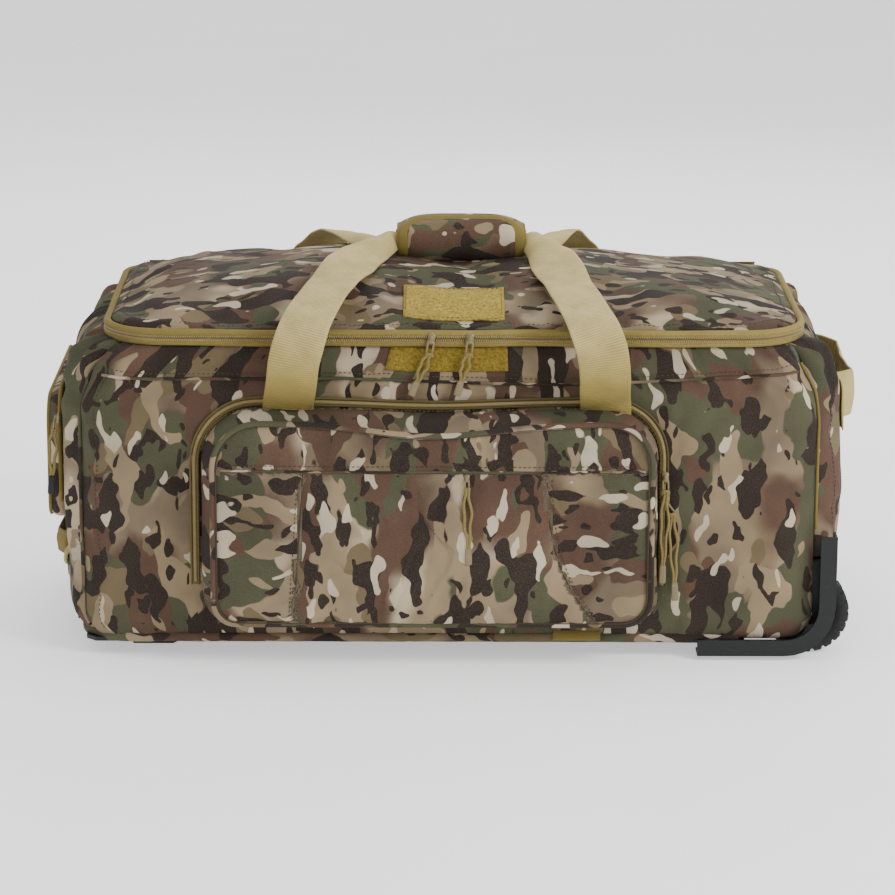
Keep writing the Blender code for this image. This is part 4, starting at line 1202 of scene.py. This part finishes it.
def webbing_strip(
    name, path, normals, half_widths, curl, twist, material=None, start=0.0
):
    """Webbing along a path. curl bends its edges down into a channel; twist leans it about its own line."""
    path, normals = np.asarray(path), np.asarray(normals)
    tangent = unit(np.gradient(path, axis=0))
    side = unit(np.cross(tangent, normals))
    out = unit(np.cross(side, tangent))
    across = np.linspace(-1, 1, 17)
    along = lengths(path) + start
    points = np.zeros((len(path), len(across), 3))
    for i in range(len(path)):
        angle = curl[i] * across
        if curl[i] > 1e-3:
            reach = np.sin(angle) / curl[i]
            drop = (1 - np.cos(angle)) / curl[i]
        else:
            reach, drop = across, across * 0
        lean = twist[i]
        direction = side[i] * math.cos(lean) + out[i] * math.sin(lean)
        rise = out[i] * math.cos(lean) - side[i] * math.sin(lean)
        across_it, down_it = reach * half_widths[i], drop * half_widths[i]
        points[i] = path[i] + np.outer(across_it, direction) - np.outer(down_it, rise)
    u = np.broadcast_to(across[None, :] * STRAP_HALF, points.shape[:2])
    v = np.broadcast_to(along[:, None], points.shape[:2])
    points += out[:, None] * (0.0007 * ripple(u * 1.5, v, 81, 0.05))[..., None]
    points = points.transpose(1, 0, 2)
    cloth = np.stack([u.T, v.T, np.zeros(u.T.shape)], -1)
    obj = sheet_piece(name, points, material or STRAP_CLOTH, cloth)
    thicken(obj, STRAP_THICK, offset=0.0)
    smooth(obj)
    return obj, points


FRONT_YZ = [
    (-0.1695, 0.2440), (-0.1735, 0.2600), (-0.1800, 0.2690), (-0.1912, 0.2810), (-0.2035, 0.2950),
    (-0.2095, 0.3120), (-0.2095, 0.3290), (-0.1980, 0.3500), (-0.1650, 0.3640), (-0.1150, 0.3750),
    (-0.0780, 0.3820), (-0.0420, 0.3890), (-0.0120, 0.3965), (0.0100, 0.4000),
]  # fmt: skip
FRONT_X = {
    "left": (
        -0.158, -0.158, -0.157, -0.155, -0.153, -0.151, -0.147,
        -0.140, -0.130, -0.115, -0.102, -0.088, -0.072, -0.058,
    ),
    "right": (
        0.153, 0.153, 0.152, 0.151, 0.1505, 0.149, 0.146,
        0.138, 0.128, 0.116, 0.108, 0.101, 0.093, 0.083,
    ),
}  # fmt: skip
REAR_YZ = [
    (0.2092, 0.0450), (0.2095, 0.1000), (0.2098, 0.1800), (0.2110, 0.2500), (0.2133, 0.2850),
    (0.2120, 0.3150), (0.2040, 0.3400), (0.1800, 0.3600), (0.1450, 0.3720), (0.1100, 0.3790),
    (0.0750, 0.3840), (0.0450, 0.3860), (0.0180, 0.3865),
]  # fmt: skip
REAR_X = {
    "left": (
        -0.158, -0.158, -0.158, -0.158, -0.155, -0.150, -0.141,
        -0.128, -0.115, -0.102, -0.088, -0.072, -0.058,
    ),
    "right": (0.153, 0.153, 0.153, 0.153, 0.151, 0.148, 0.139, 0.126, 0.116, 0.108, 0.101, 0.093, 0.083),
}  # fmt: skip


def make_straps():
    """Each strap runs from where it is sewn to the bag, over the lid, and bunches up into the wrap."""
    for side, sign in (("left", -1), ("right", 1)):
        for place, route, xs, facing in (("front", FRONT_YZ, FRONT_X, -1), ("rear", REAR_YZ, REAR_X, 1)):
            control = np.array([(x, y, z) for x, (y, z) in zip(xs[side], route)])
            path = spline(control, 110)
            share = lengths(path) / lengths(path)[-1]
            rise = np.clip((path[:, 2] - 0.315) / 0.055, 0, 1)
            normals = np.column_stack([np.zeros(len(path)), facing * (1 - rise), rise + 0.02])
            gather = np.clip((share - 0.74) / 0.22, 0, 1) ** 1.3
            curl = 0.12 + 1.45 * gather
            half = STRAP_HALF * (1 - 0.10 * gather)
            twist = sign * (-facing) * 0.30 * np.sin(math.pi * np.clip((share - 0.62) / 0.38, 0, 1))
            obj, _ = webbing_strip(f"{place}_webbing_{side}", path, normals, half, curl, twist)
            if place == "front":
                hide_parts(f"front_riser_{side}", f"front_strap_{side}")
                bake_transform(obj)
            else:
                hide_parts(f"rear_strap_{side}")
                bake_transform(obj)


def wrap_point(u, angle, lift=0.0):
    """A point on the wrap. u runs 0 to 1 along it; angle runs from the rear, over the top, in degrees."""
    x = WRAP_X[0] + (WRAP_X[1] - WRAP_X[0]) * u
    end = abs(2 * u - 1)
    size = 1 - 0.10 * end**6 - 0.03 * end**2
    a = math.radians(angle)
    dome = 1 - 0.44 * end**5 * max(0.0, math.sin(a)) ** 0.7
    return np.array(
        [
            x,
            WRAP_CENTRE[0] + (WRAP_RADII[0] * size + lift) * math.cos(a),
            WRAP_CENTRE[1] + (WRAP_RADII[1] * size * dome + lift) * math.sin(a),
        ]
    )


def make_wrap():
    """The padded wrap that joins the straps: a bound flap of camouflage cloth closed over the webbing."""
    columns, rows = 96, 84
    low_angle, high_angle = -30.0, 262.0
    points = np.zeros((rows, columns, 3))
    bound = np.zeros((rows, columns))
    length = WRAP_X[1] - WRAP_X[0]
    arc = WRAP_RADII[0] * math.radians(1.0)
    for i, angle in enumerate(np.linspace(low_angle, high_angle, rows)):
        for j, u in enumerate(np.linspace(0, 1, columns)):
            x = u * length
            d_end = min(x, length - x)
            d_top = (angle - FLAP_EDGE) * arc
            radius = 0.024
            if d_end < radius and d_top < radius:
                edge = radius - math.hypot(radius - d_end, radius - d_top)
            else:
                edge = min(d_end, d_top)
            band = 1.0 if 0.0 <= edge <= 0.0085 or d_end <= 0.0085 else 0.0
            bound[i, j] = band
            inside = max(0.0, min(1.0, (edge - 0.0085) / 0.004))
            pad = 0.0018 * inside if edge > 0 else -0.0008
            piped = 0.0014 * math.sqrt(max(0.0, 1 - ((edge - 0.0042) / 0.0046) ** 2)) if band else 0.0
            dimple = 0.0007 * math.sin(x * 130) * math.sin(angle * 0.05) * inside
            points[i, j] = wrap_point(u, angle, pad + piped + dimple)
    cloth = points[..., [2, 0, 1]]
    faces = grid_faces(rows, columns)
    verts = points.reshape(-1, 3)
    obj = add_mesh("handle_wrap_cloth", verts, faces, CAMO, cloth.reshape(-1, 3))
    obj.data.materials.append(TAPE)
    marks = bound.ravel()
    for polygon in obj.data.polygons:
        if sum(marks[v] for v in polygon.vertices) >= 3:
            polygon.material_index = 1
    thicken(obj, 0.0032, offset=-1.0)
    smooth(obj)
    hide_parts("handle_wrap")
    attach(obj, "front_handle")
    rim = [wrap_point(0.068, a, 0.0024) for a in np.linspace(252, FLAP_EDGE + 18, 40)]
    rim += [wrap_point(u, FLAP_EDGE + 13, 0.0024) for u in np.linspace(0.10, 0.90, 60)]
    rim += [wrap_point(0.932, a, 0.0024) for a in np.linspace(FLAP_EDGE + 18, 252, 40)]
    rim = resample(np.array(rim), 300)
    centre = np.column_stack([rim[:, 0], np.full(300, WRAP_CENTRE[0]), np.full(300, WRAP_CENTRE[1])])
    stitches("wrap_stitch", rim, unit(rim - centre), "front_handle", length=0.0024)
    for side, u in (("left", 0.0), ("right", 1.0)):
        ring = [wrap_point(u, a, 0.0002) for a in np.linspace(low_angle, high_angle, 60)]
        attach(tube(f"wrap_end_{side}", ring, 0.0030, TAPE, sides=10), "front_handle")
    ends = (WRAP_X[0] - 0.004, WRAP_X[1] + 0.004)
    core = spline([(ends[0], 0.011, 0.3925), (0.012, 0.013, 0.3930), (ends[1], 0.011, 0.3925)], 24)
    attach(tube("wrap_core", core, 0.0095, STRAP_CLOTH, sides=16, flat=0.7), "front_handle")


def make_strap_stitching():
    """Crossed boxes of stitching down the lower run of each rear webbing."""
    for side, x in (("left", -0.158), ("right", 0.153)):
        for row in range(4):
            z = 0.060 + 0.062 * row
            for a, b in (((-1, -1), (1, 1)), ((-1, 1), (1, -1)), ((-1, -1), (1, -1)), ((-1, 1), (1, 1))):
                start = np.array([x + a[0] * 0.019, 0.2122, z + a[1] * 0.017])
                end = np.array([x + b[0] * 0.019, 0.2122, z + b[1] * 0.017])
                path = resample(np.array([start, end]), 8)
                name = f"rear_box_{side}_{row}_{a[0]}{a[1]}{b[0]}{b[1]}".replace("-", "m")
                stitches(name, path, (0, 1, 0), "bag")


make_straps()
make_wrap()
make_strap_stitching()


# ---------------------------------------------------------------- zip sliders and cord pulls


def make_slider(node, body, centre, down, out, size):
    """A cast slider: a waisted body that straddles the teeth, a bridge over it and a puller tab."""
    centre, down, out = (np.asarray(v, float) for v in (centre, down, out))
    side = unit(np.cross(down, out))
    pieces = []

    def slab(at, half_along, half_side, half_out, waist=0.0):
        rings = []
        for t in np.linspace(-1, 1, 9):
            wide = half_side * (1 - waist * (1 - t * t))
            soft = math.sqrt(max(0.05, 1 - abs(t) ** 6))
            for a in np.linspace(0, 2 * math.pi, 14, endpoint=False):
                ca, sa = math.cos(a), math.sin(a)
                squash = max(abs(ca), abs(sa)) ** -0.75
                spread = side * ca * wide * squash * soft + out * sa * half_out * squash * soft
                rings.append(at + down * half_along * t + spread)
        faces = grid_faces(9, 14, wrap_columns=True)
        faces += [tuple(range(14))[::-1], tuple(range(8 * 14, 9 * 14))]
        pieces.append((rings, faces))

    slab(centre, size * 0.55, size * 0.42, size * 0.18, 0.25)
    slab(centre + out * size * 0.30, size * 0.34, size * 0.16, size * 0.10)
    tab = centre + out * size * 0.36 + down * size * 0.62
    for shift in (-1, 1):
        slab(tab + side * shift * size * 0.24, size * 0.52, size * 0.09, size * 0.08)
    slab(tab + down * size * 0.50, size * 0.10, size * 0.32, size * 0.08)
    slab(tab - down * size * 0.44, size * 0.10, size * 0.30, size * 0.08)
    obj = merged(f"{node}_body", pieces, ENAMEL)
    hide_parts(node)
    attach(obj, body)
    return tab + down * size * 0.46


def cord_curve(name, points, radius, body):
    curve = bpy.data.curves.new(name, "CURVE")
    curve.dimensions = "3D"
    curve.bevel_depth = radius
    curve.bevel_resolution = 3
    curve.use_fill_caps = True
    line = curve.splines.new("POLY")
    line.points.add(len(points) - 1)
    for point, at in zip(line.points, points):
        point.co = (*map(float, at), 1.0)
    curve.materials.append(CORD)
    obj = bpy.data.objects.new(name, curve)
    bpy.context.scene.collection.objects.link(obj)
    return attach(obj, body)


def make_tip(name, top, direction, side, length, body, material):
    """A moulded sleeve that grips both ends of the cord."""
    out = unit(np.cross(direction, side))
    rings = []
    stations = ((0.0, 0.60), (0.05, 0.86), (0.16, 0.92), (0.5, 1.0), (0.88, 1.02), (0.97, 0.94), (1.0, 0.72))
    for share, size in stations:
        for a in np.linspace(0, 2 * math.pi, 16, endpoint=False):
            ca, sa = math.cos(a), math.sin(a)
            squash = max(abs(ca), abs(sa)) ** -0.7
            spread = side * ca * 0.0036 * size * squash + out * sa * 0.0023 * size * squash
            rings.append(top + direction * length * share + spread)
    faces = grid_faces(len(stations), 16, wrap_columns=True)
    faces += [tuple(range(16))[::-1], tuple(range((len(stations) - 1) * 16, len(stations) * 16))]
    obj = add_mesh(name, rings, faces, material, rings)
    smooth(obj)
    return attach(obj, body)


CORD_RADIUS = 0.00150


def make_pull(node, body, eye, end, tip_length=0.016, bow=0.003, material=None):
    """A loop of thin cord through the puller, shown as its two strands, closed by a moulded tip."""
    eye, end = np.asarray(eye, float), np.asarray(end, float)
    down = unit(end - eye)
    out = unit(np.cross(np.array([1.0, 0.0, 0.0]), down))
    side = unit(np.cross(down, out))
    tip_top = end - down * tip_length
    tip = make_tip(f"{node}_tip", tip_top, down, side, tip_length, body, material or TIP)
    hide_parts(node)
    for number, sign in enumerate((-1, 1), 1):
        route = []
        for t in np.linspace(0, 1, 22):
            spread = sign * (0.0014 + 0.0022 * math.sin(math.pi * min(1.0, t * 1.15)) ** 2)
            weave = 0.0007 * math.sin(t * 15 + number)
            sway = bow * math.sin(math.pi * t)
            along = eye + (tip_top + down * 0.002 - eye) * t
            route.append(along + side * (spread + weave) - out * (sway * 0.2))
        route = np.array(route)
        strand = cord_curve(f"{node}_strand_{number}", route, CORD_RADIUS, body)
    return tip


def knot(name, at, body, size=0.0032):
    """The hitch where the cord grips the puller: two small turns of cord."""
    pieces = []
    for tilt in (-0.5, 0.5):
        ring = []
        for a in np.linspace(0, 2 * math.pi, 18, endpoint=False):
            centre = size * np.array([math.cos(a), -math.sin(a) * 0.55, math.sin(a + tilt) * 0.5])
            radial = unit(centre)
            for b in np.linspace(0, 2 * math.pi, 8, endpoint=False):
                up = np.array([0, 0, math.sin(b)])
                ring.append(at + centre + CORD_RADIUS * (radial * math.cos(b) + up))
        pieces.append((ring, grid_faces(18, 8, wrap_columns=True, wrap_rows=True)))
    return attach(merged(name, pieces, CORD), body)


def make_all_pulls():
    for side, x, lean in (("left", -0.018, -0.020), ("right", 0.020, -0.013)):
        low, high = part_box(f"main_slider_{side}")
        centre = ((low + high) / 2).to_tuple()
        slider = f"main_slider_{side}"
        eye = make_slider(slider, slider, centre, (lean * 8, -0.25, -1), (0, -1, 0), 0.0120)
        eye = np.asarray(eye)
        end = (x + lean, -0.1745, 0.2725)
        make_pull(f"main_pull_{side}", f"main_pull_{side}", eye, end, tip_length=0.0150)
        knot(f"main_knot_{side}", eye + np.array([0, 0.0, -0.002]), f"main_pull_{side}")
    for name, x, end_z in (("upper", 0.2105, 0.0850), ("lower", 0.2240, 0.0660)):
        low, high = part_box(f"pocket_slider_{name}")
        centre = (low + high) / 2
        slider = f"pocket_slider_{name}"
        down = (0.80, -0.10, -1.0) if name == "lower" else (0.0, -0.35, -1.0)
        eye = make_slider(slider, slider, centre, unit(np.array(down)), (0, -1, 0), 0.0110)
        depth = -0.1795 if name == "lower" else -0.1835
        make_pull(f"pocket_pull_{name}", f"pocket_pull_{name}", eye, (x, depth, end_z), tip_length=0.019)
        knot(f"pocket_knot_{name}", np.asarray(eye) + np.array([0, 0, -0.002]), f"pocket_pull_{name}")
    low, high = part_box("sub_pocket_slider")
    eye = make_slider("sub_pocket_slider", "sub_slider", (low + high) / 2, (0, -0.1, -1), (0, -1, 0), 0.0080)
    low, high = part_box("sub_pocket_pull")
    make_pull("sub_pocket_pull", "sub_pull", eye, (0.019, low[1] + 0.0032, low[2]), tip_length=0.018)
    low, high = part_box("end_pocket_slider")
    eye = make_slider("end_pocket_slider", "end_slider", (low + high) / 2, (-0.1, 0, -1), (-1, 0, 0), 0.0100)
    low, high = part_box("end_pocket_pull")
    end = (-0.3960, -0.1290, low[2])
    tip = make_pull("end_pocket_pull", "end_pull", eye, end, tip_length=0.020, material=BLACK)


make_all_pulls()


# ---------------------------------------------------------------- ends of the bag


def make_end_pocket():
    """The flat pocket on the trolley end: a bellowed edge, a puffed face, piping and a zip."""
    back = rounded_outline(-0.149, 0.115, 0.1305, 0.2580, (0.014, 0.014, 0.030, 0.030), 0.0045)
    face = rounded_outline(-0.145, 0.111, 0.1325, 0.2540, (0.014, 0.014, 0.028, 0.028), 0.0045)
    count = len(back)
    face = resample(np.vstack([face, face[:1]]), count + 1)[:-1]
    middle = np.array([-0.017, 0.193])
    start_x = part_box("end_pocket")[1][0]
    rows = []
    for t in np.linspace(0, 1, 7):
        ring = back + (face - back) * t
        ring = middle + (ring - middle) * (1 + 0.022 * math.sin(math.pi * t))
        rows.append(np.column_stack([np.full(count, start_x - 0.0150 * t), -ring[:, 0], ring[:, 1]]))
    shares = np.concatenate([[0.985, 0.96, 0.93], np.linspace(0.88, 0.05, 20)])
    for share in shares:
        ring = middle + (face - middle) * share
        out = 0.0150 + 0.0058 * (1 - share**2.4)
        out = out + 0.0016 * ripple(ring[:, 0], ring[:, 1], 91, 0.07) * (1 - share**4)
        out = out + 0.0018 * folds(ring[:, 0], ring[:, 1], 92, 0.06, 2.5, 2.5) * (1 - share**4)
        rows.append(np.column_stack([start_x - out, -ring[:, 0], ring[:, 1]]))
    points = np.array(rows)
    faces = capped_faces(len(points), count)
    cloth = points.reshape(-1, 3)[:, [1, 2, 0]] + np.array([4.2, 0.3, 0.0])
    obj = add_mesh("end_pocket_cloth", points.reshape(-1, 3), faces, CAMO, cloth)
    thicken(obj, 0.0024, LINING)
    smooth(obj)
    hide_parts("end_pocket")
    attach(obj, "end_pocket_flap")
    rim = np.column_stack([np.full(count, start_x - 0.0152), -face[:, 0], face[:, 1]])
    piping = tube("end_pocket_piping", rim, 0.0019, TAPE, sides=8, closed=True)
    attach(piping, "end_pocket_flap")
    line = np.array([p for p in back if p[1] > 0.150])
    start = max(range(len(line)), key=lambda i: np.linalg.norm(line[i] - line[i - 1]))
    line = resample(np.vstack([line[start:], line[:start]]), 160)
    out = unit(np.column_stack([np.gradient(line[:, 1]), -np.gradient(line[:, 0])]))
    moved = line + out * 0.0055
    path = np.column_stack([np.full(160, start_x - 0.0030), -moved[:, 0], moved[:, 1]])
    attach(tube("end_zip_roll", path, 0.0026, TAPE, sides=8, flat=0.8), "bag")
    over = np.column_stack([np.zeros(160), -out[:, 0], out[:, 1]])
    zip_teeth("end_zip_teeth", path - over * 0.0042, (-1, 0, 0), over, 0.0013, "bag")


def loop_handle(label, body, sign, z, width, reach, span, material):
    """A webbing grip that bows off an end panel, in two halves, each sewn to the bag at its end."""
    low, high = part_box(body)
    near_x = low[0] if sign > 0 else high[0]
    middle = (span[0] + span[1]) / 2
    for part, first, last in (("front", span[0], middle), ("rear", middle, span[1])):
        ys = np.linspace(first, last + (0.002 if part == "front" else 0.0), 41)
        t = (ys - span[0]) / (span[1] - span[0])
        bow = np.clip(2.3 * np.sin(math.pi * t), 0, 1) ** 0.7
        droop = -0.004 * np.sin(math.pi * t)
        path = np.column_stack([near_x + sign * (0.0016 + reach * bow), ys, z + droop])
        normals = np.broadcast_to((float(sign), 0.0, 0.0), path.shape)
        curl = 0.18 + 0.25 * np.sin(math.pi * t)
        flat = np.full(41, width / 2)
        begin = 0.0 if part == "front" else front_length
        obj, _ = webbing_strip(
            f"{label}_{part}", path, normals, flat, curl, np.zeros(41), material=material, start=begin
        )
        front_length = lengths(path)[-1] - 0.002
        if part == "front":
            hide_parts(body)
        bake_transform(obj)


def make_end_handles():
    loop_handle("wheel_end_grip", "wheel_end_handle", 1, 0.249, 0.048, 0.0225, (-0.072, 0.112), PALE_TAPE)
    loop_handle("trolley_end_grip", "trolley_end_handle", -1, 0.090, 0.025, 0.0125, (-0.062, 0.102), TAPE)
    for label, sign, y, z, wide, tall in (
        ("wheel_front", 1, -0.088, 0.245, 0.034, 0.050),
        ("wheel_rear", 1, 0.128, 0.245, 0.034, 0.050),
        ("trolley_front", -1, -0.076, 0.090, 0.030, 0.030),
        ("trolley_rear", -1, 0.116, 0.090, 0.030, 0.030),
    ):
        side = 1 if sign > 0 else 3
        row = shell[26, panel_start[side] : panel_start[side] + PANEL_COLUMNS[side], 1]
        order = np.argsort(row)
        rows = []
        for dz in np.linspace(-tall / 2, tall / 2, 9):
            line = []
            for dy in np.linspace(-wide / 2, wide / 2, 9):
                column = np.interp(y + dy, row[order], np.arange(len(row))[order])
                line.append(shell_point(side, column / PANEL_COLUMNS[side], z + dz, 0.0016)[0])
            rows.append(line)
        points = np.array(rows)
        if sign < 0:
            points = points[:, ::-1]
        cloth = points[..., [2, 1, 0]].copy()
        tab = sheet_piece(f"handle_tab_{label}", points, PALE_TAPE, cloth)
        thicken(tab, 0.0022, offset=1.0)
        smooth(tab)
        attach(tab, "bag")


make_end_pocket()
make_end_handles()


# ---------------------------------------------------------------- wheels and hard parts


def make_tyre(side):
    """A tyre with staggered tread blocks, grooves and a rounded shoulder."""
    low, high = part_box(f"wheel_tyre_{side}")
    centre = (low + high) / 2
    steps, blocks = 264, 22
    profile = []
    half = WHEEL_WIDTH / 2
    for t in np.linspace(-1, 1, 33):
        y = half * math.copysign(min(1.0, abs(t) * 1.06), t)
        shoulder = max(0.0, abs(t) - 0.72) / 0.28
        profile.append((WHEEL_RADIUS - 0.0060 * shoulder**2.2, y, t))
    inner = [(0.0330, half, 9.0), (0.0288, half - 0.0022, 9.0)]
    inner += [(r, -y, mark) for r, y, mark in reversed(inner)]
    rings = []
    for i in range(steps):
        turn = i / steps
        angle = 2 * math.pi * turn
        ring = []
        for radius, y, t in profile:
            phase = (turn * blocks + (0.5 if t > 0 else 0.0) + 0.16 * abs(t)) % 1.0
            cut = phase < 0.30 or abs(t) < 0.07
            depth = 0.0026 if cut else 0.0
            sipe = 0.0006 if 0.62 < phase < 0.67 else 0.0
            r = radius - depth - sipe
            ring.append((centre[0] + r * math.cos(angle), centre[1] + y, centre[2] + r * math.sin(angle)))
        for r, y, _ in inner:
            ring.append((centre[0] + r * math.cos(angle), centre[1] + y, centre[2] + r * math.sin(angle)))
        rings.append(ring)
    points = np.array(rings)
    faces = [f[::-1] for f in grid_faces(steps, points.shape[1], wrap_columns=True, wrap_rows=True)]
    obj = add_mesh(f"tread_{side}", points.reshape(-1, 3), faces, RUBBER, None)
    obj.data.set_sharp_from_angle(angle=math.radians(35))
    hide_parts(f"wheel_tyre_{side}")
    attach(obj, f"{side}_wheel")


def finish_cad_nodes():
    """Materials for the hard CAD parts, with eased edges on the moulded ones."""
    slots = {row["node"]: row["material_slot"] for row in frame["record"]["subparts"]}
    for name, obj in frame["nodes"].items():
        material = CAD_MATERIALS.get(slots[name])
        if obj.hide_render or material is None:
            continue
        obj.data.materials.clear()
        obj.data.materials.append(material)
        if slots[name] in ("black_plastic", "grey_plastic"):
            bevel = obj.modifiers.new("eased", "BEVEL")
            bevel.width = 0.0009
            bevel.segments = 2
            bevel.limit_method = "ANGLE"
            bevel.angle_limit = math.radians(40)
            bevel.harden_normals = False


for wheel in ("front", "rear"):
    make_tyre(wheel)
finish_cad_nodes()


# ---------------------------------------------------------------- studio


def add_light(name, place, target, size, power, colour=(1.0, 1.0, 1.0)):
    data = bpy.data.lights.new(name, "AREA")
    data.shape = "RECTANGLE"
    data.size, data.size_y = size
    data.energy = power
    data.color = colour
    obj = bpy.data.objects.new(name, data)
    obj.location = place
    obj.rotation_euler = (Vector(target) - Vector(place)).to_track_quat("-Z", "Y").to_euler()
    bpy.context.scene.collection.objects.link(obj)


def make_studio():
    span = 14.0
    verts = [(-span, -span, 0.0), (span, -span, 0.0), (span, span, 0.0), (-span, span, 0.0)]
    sweep = add_mesh("studio_floor", verts, [(0, 1, 2, 3)], floor_paper("pale_paper"))
    add_light("key", (2.0, -1.7, 1.9), (0.15, -0.1, 0.18), (1.0, 0.8), 60)
    add_light("fill", (-2.2, -1.7, 1.2), (0.0, 0.0, 0.2), (2.0, 1.6), 3)
    add_light("top", (0.0, 0.4, 2.6), (0.0, 0.0, 0.2), (2.0, 1.4), 20)
    add_light("rear", (0.4, 2.3, 1.7), (0.0, 0.0, 0.2), (2.0, 1.2), 30)
    world = bpy.data.worlds.new("studio")
    world.use_nodes = True
    world.node_tree.nodes["Background"].inputs["Color"].default_value = (1.0, 1.0, 1.0, 1.0)
    world.node_tree.nodes["Background"].inputs["Strength"].default_value = 0.85
    bpy.context.scene.world = world


def make_camera():
    azimuth, elevation = math.radians(CAMERA_AZIMUTH), math.radians(CAMERA_ELEVATION)
    back = Vector(
        (
            math.sin(azimuth) * math.cos(elevation),
            -math.cos(azimuth) * math.cos(elevation),
            math.sin(elevation),
        )
    )
    data = bpy.data.cameras.new("camera")
    data.sensor_width = 36.0
    data.lens = CAMERA_FOCAL / IMAGE_WIDTH * data.sensor_width
    data.clip_end = 50.0
    camera = bpy.data.objects.new("camera", data)
    target = Vector((-0.0005, 0.0, 0.1754))
    camera.location = target + back * CAMERA_DISTANCE
    camera.rotation_mode = "QUATERNION"
    aim = (-back).to_track_quat("-Z", "Y")
    camera.rotation_quaternion = aim @ Quaternion((0.0, 0.0, 1.0), math.radians(CAMERA_ROLL))
    bpy.context.scene.collection.objects.link(camera)
    bpy.context.scene.camera = camera


make_studio()
make_camera()
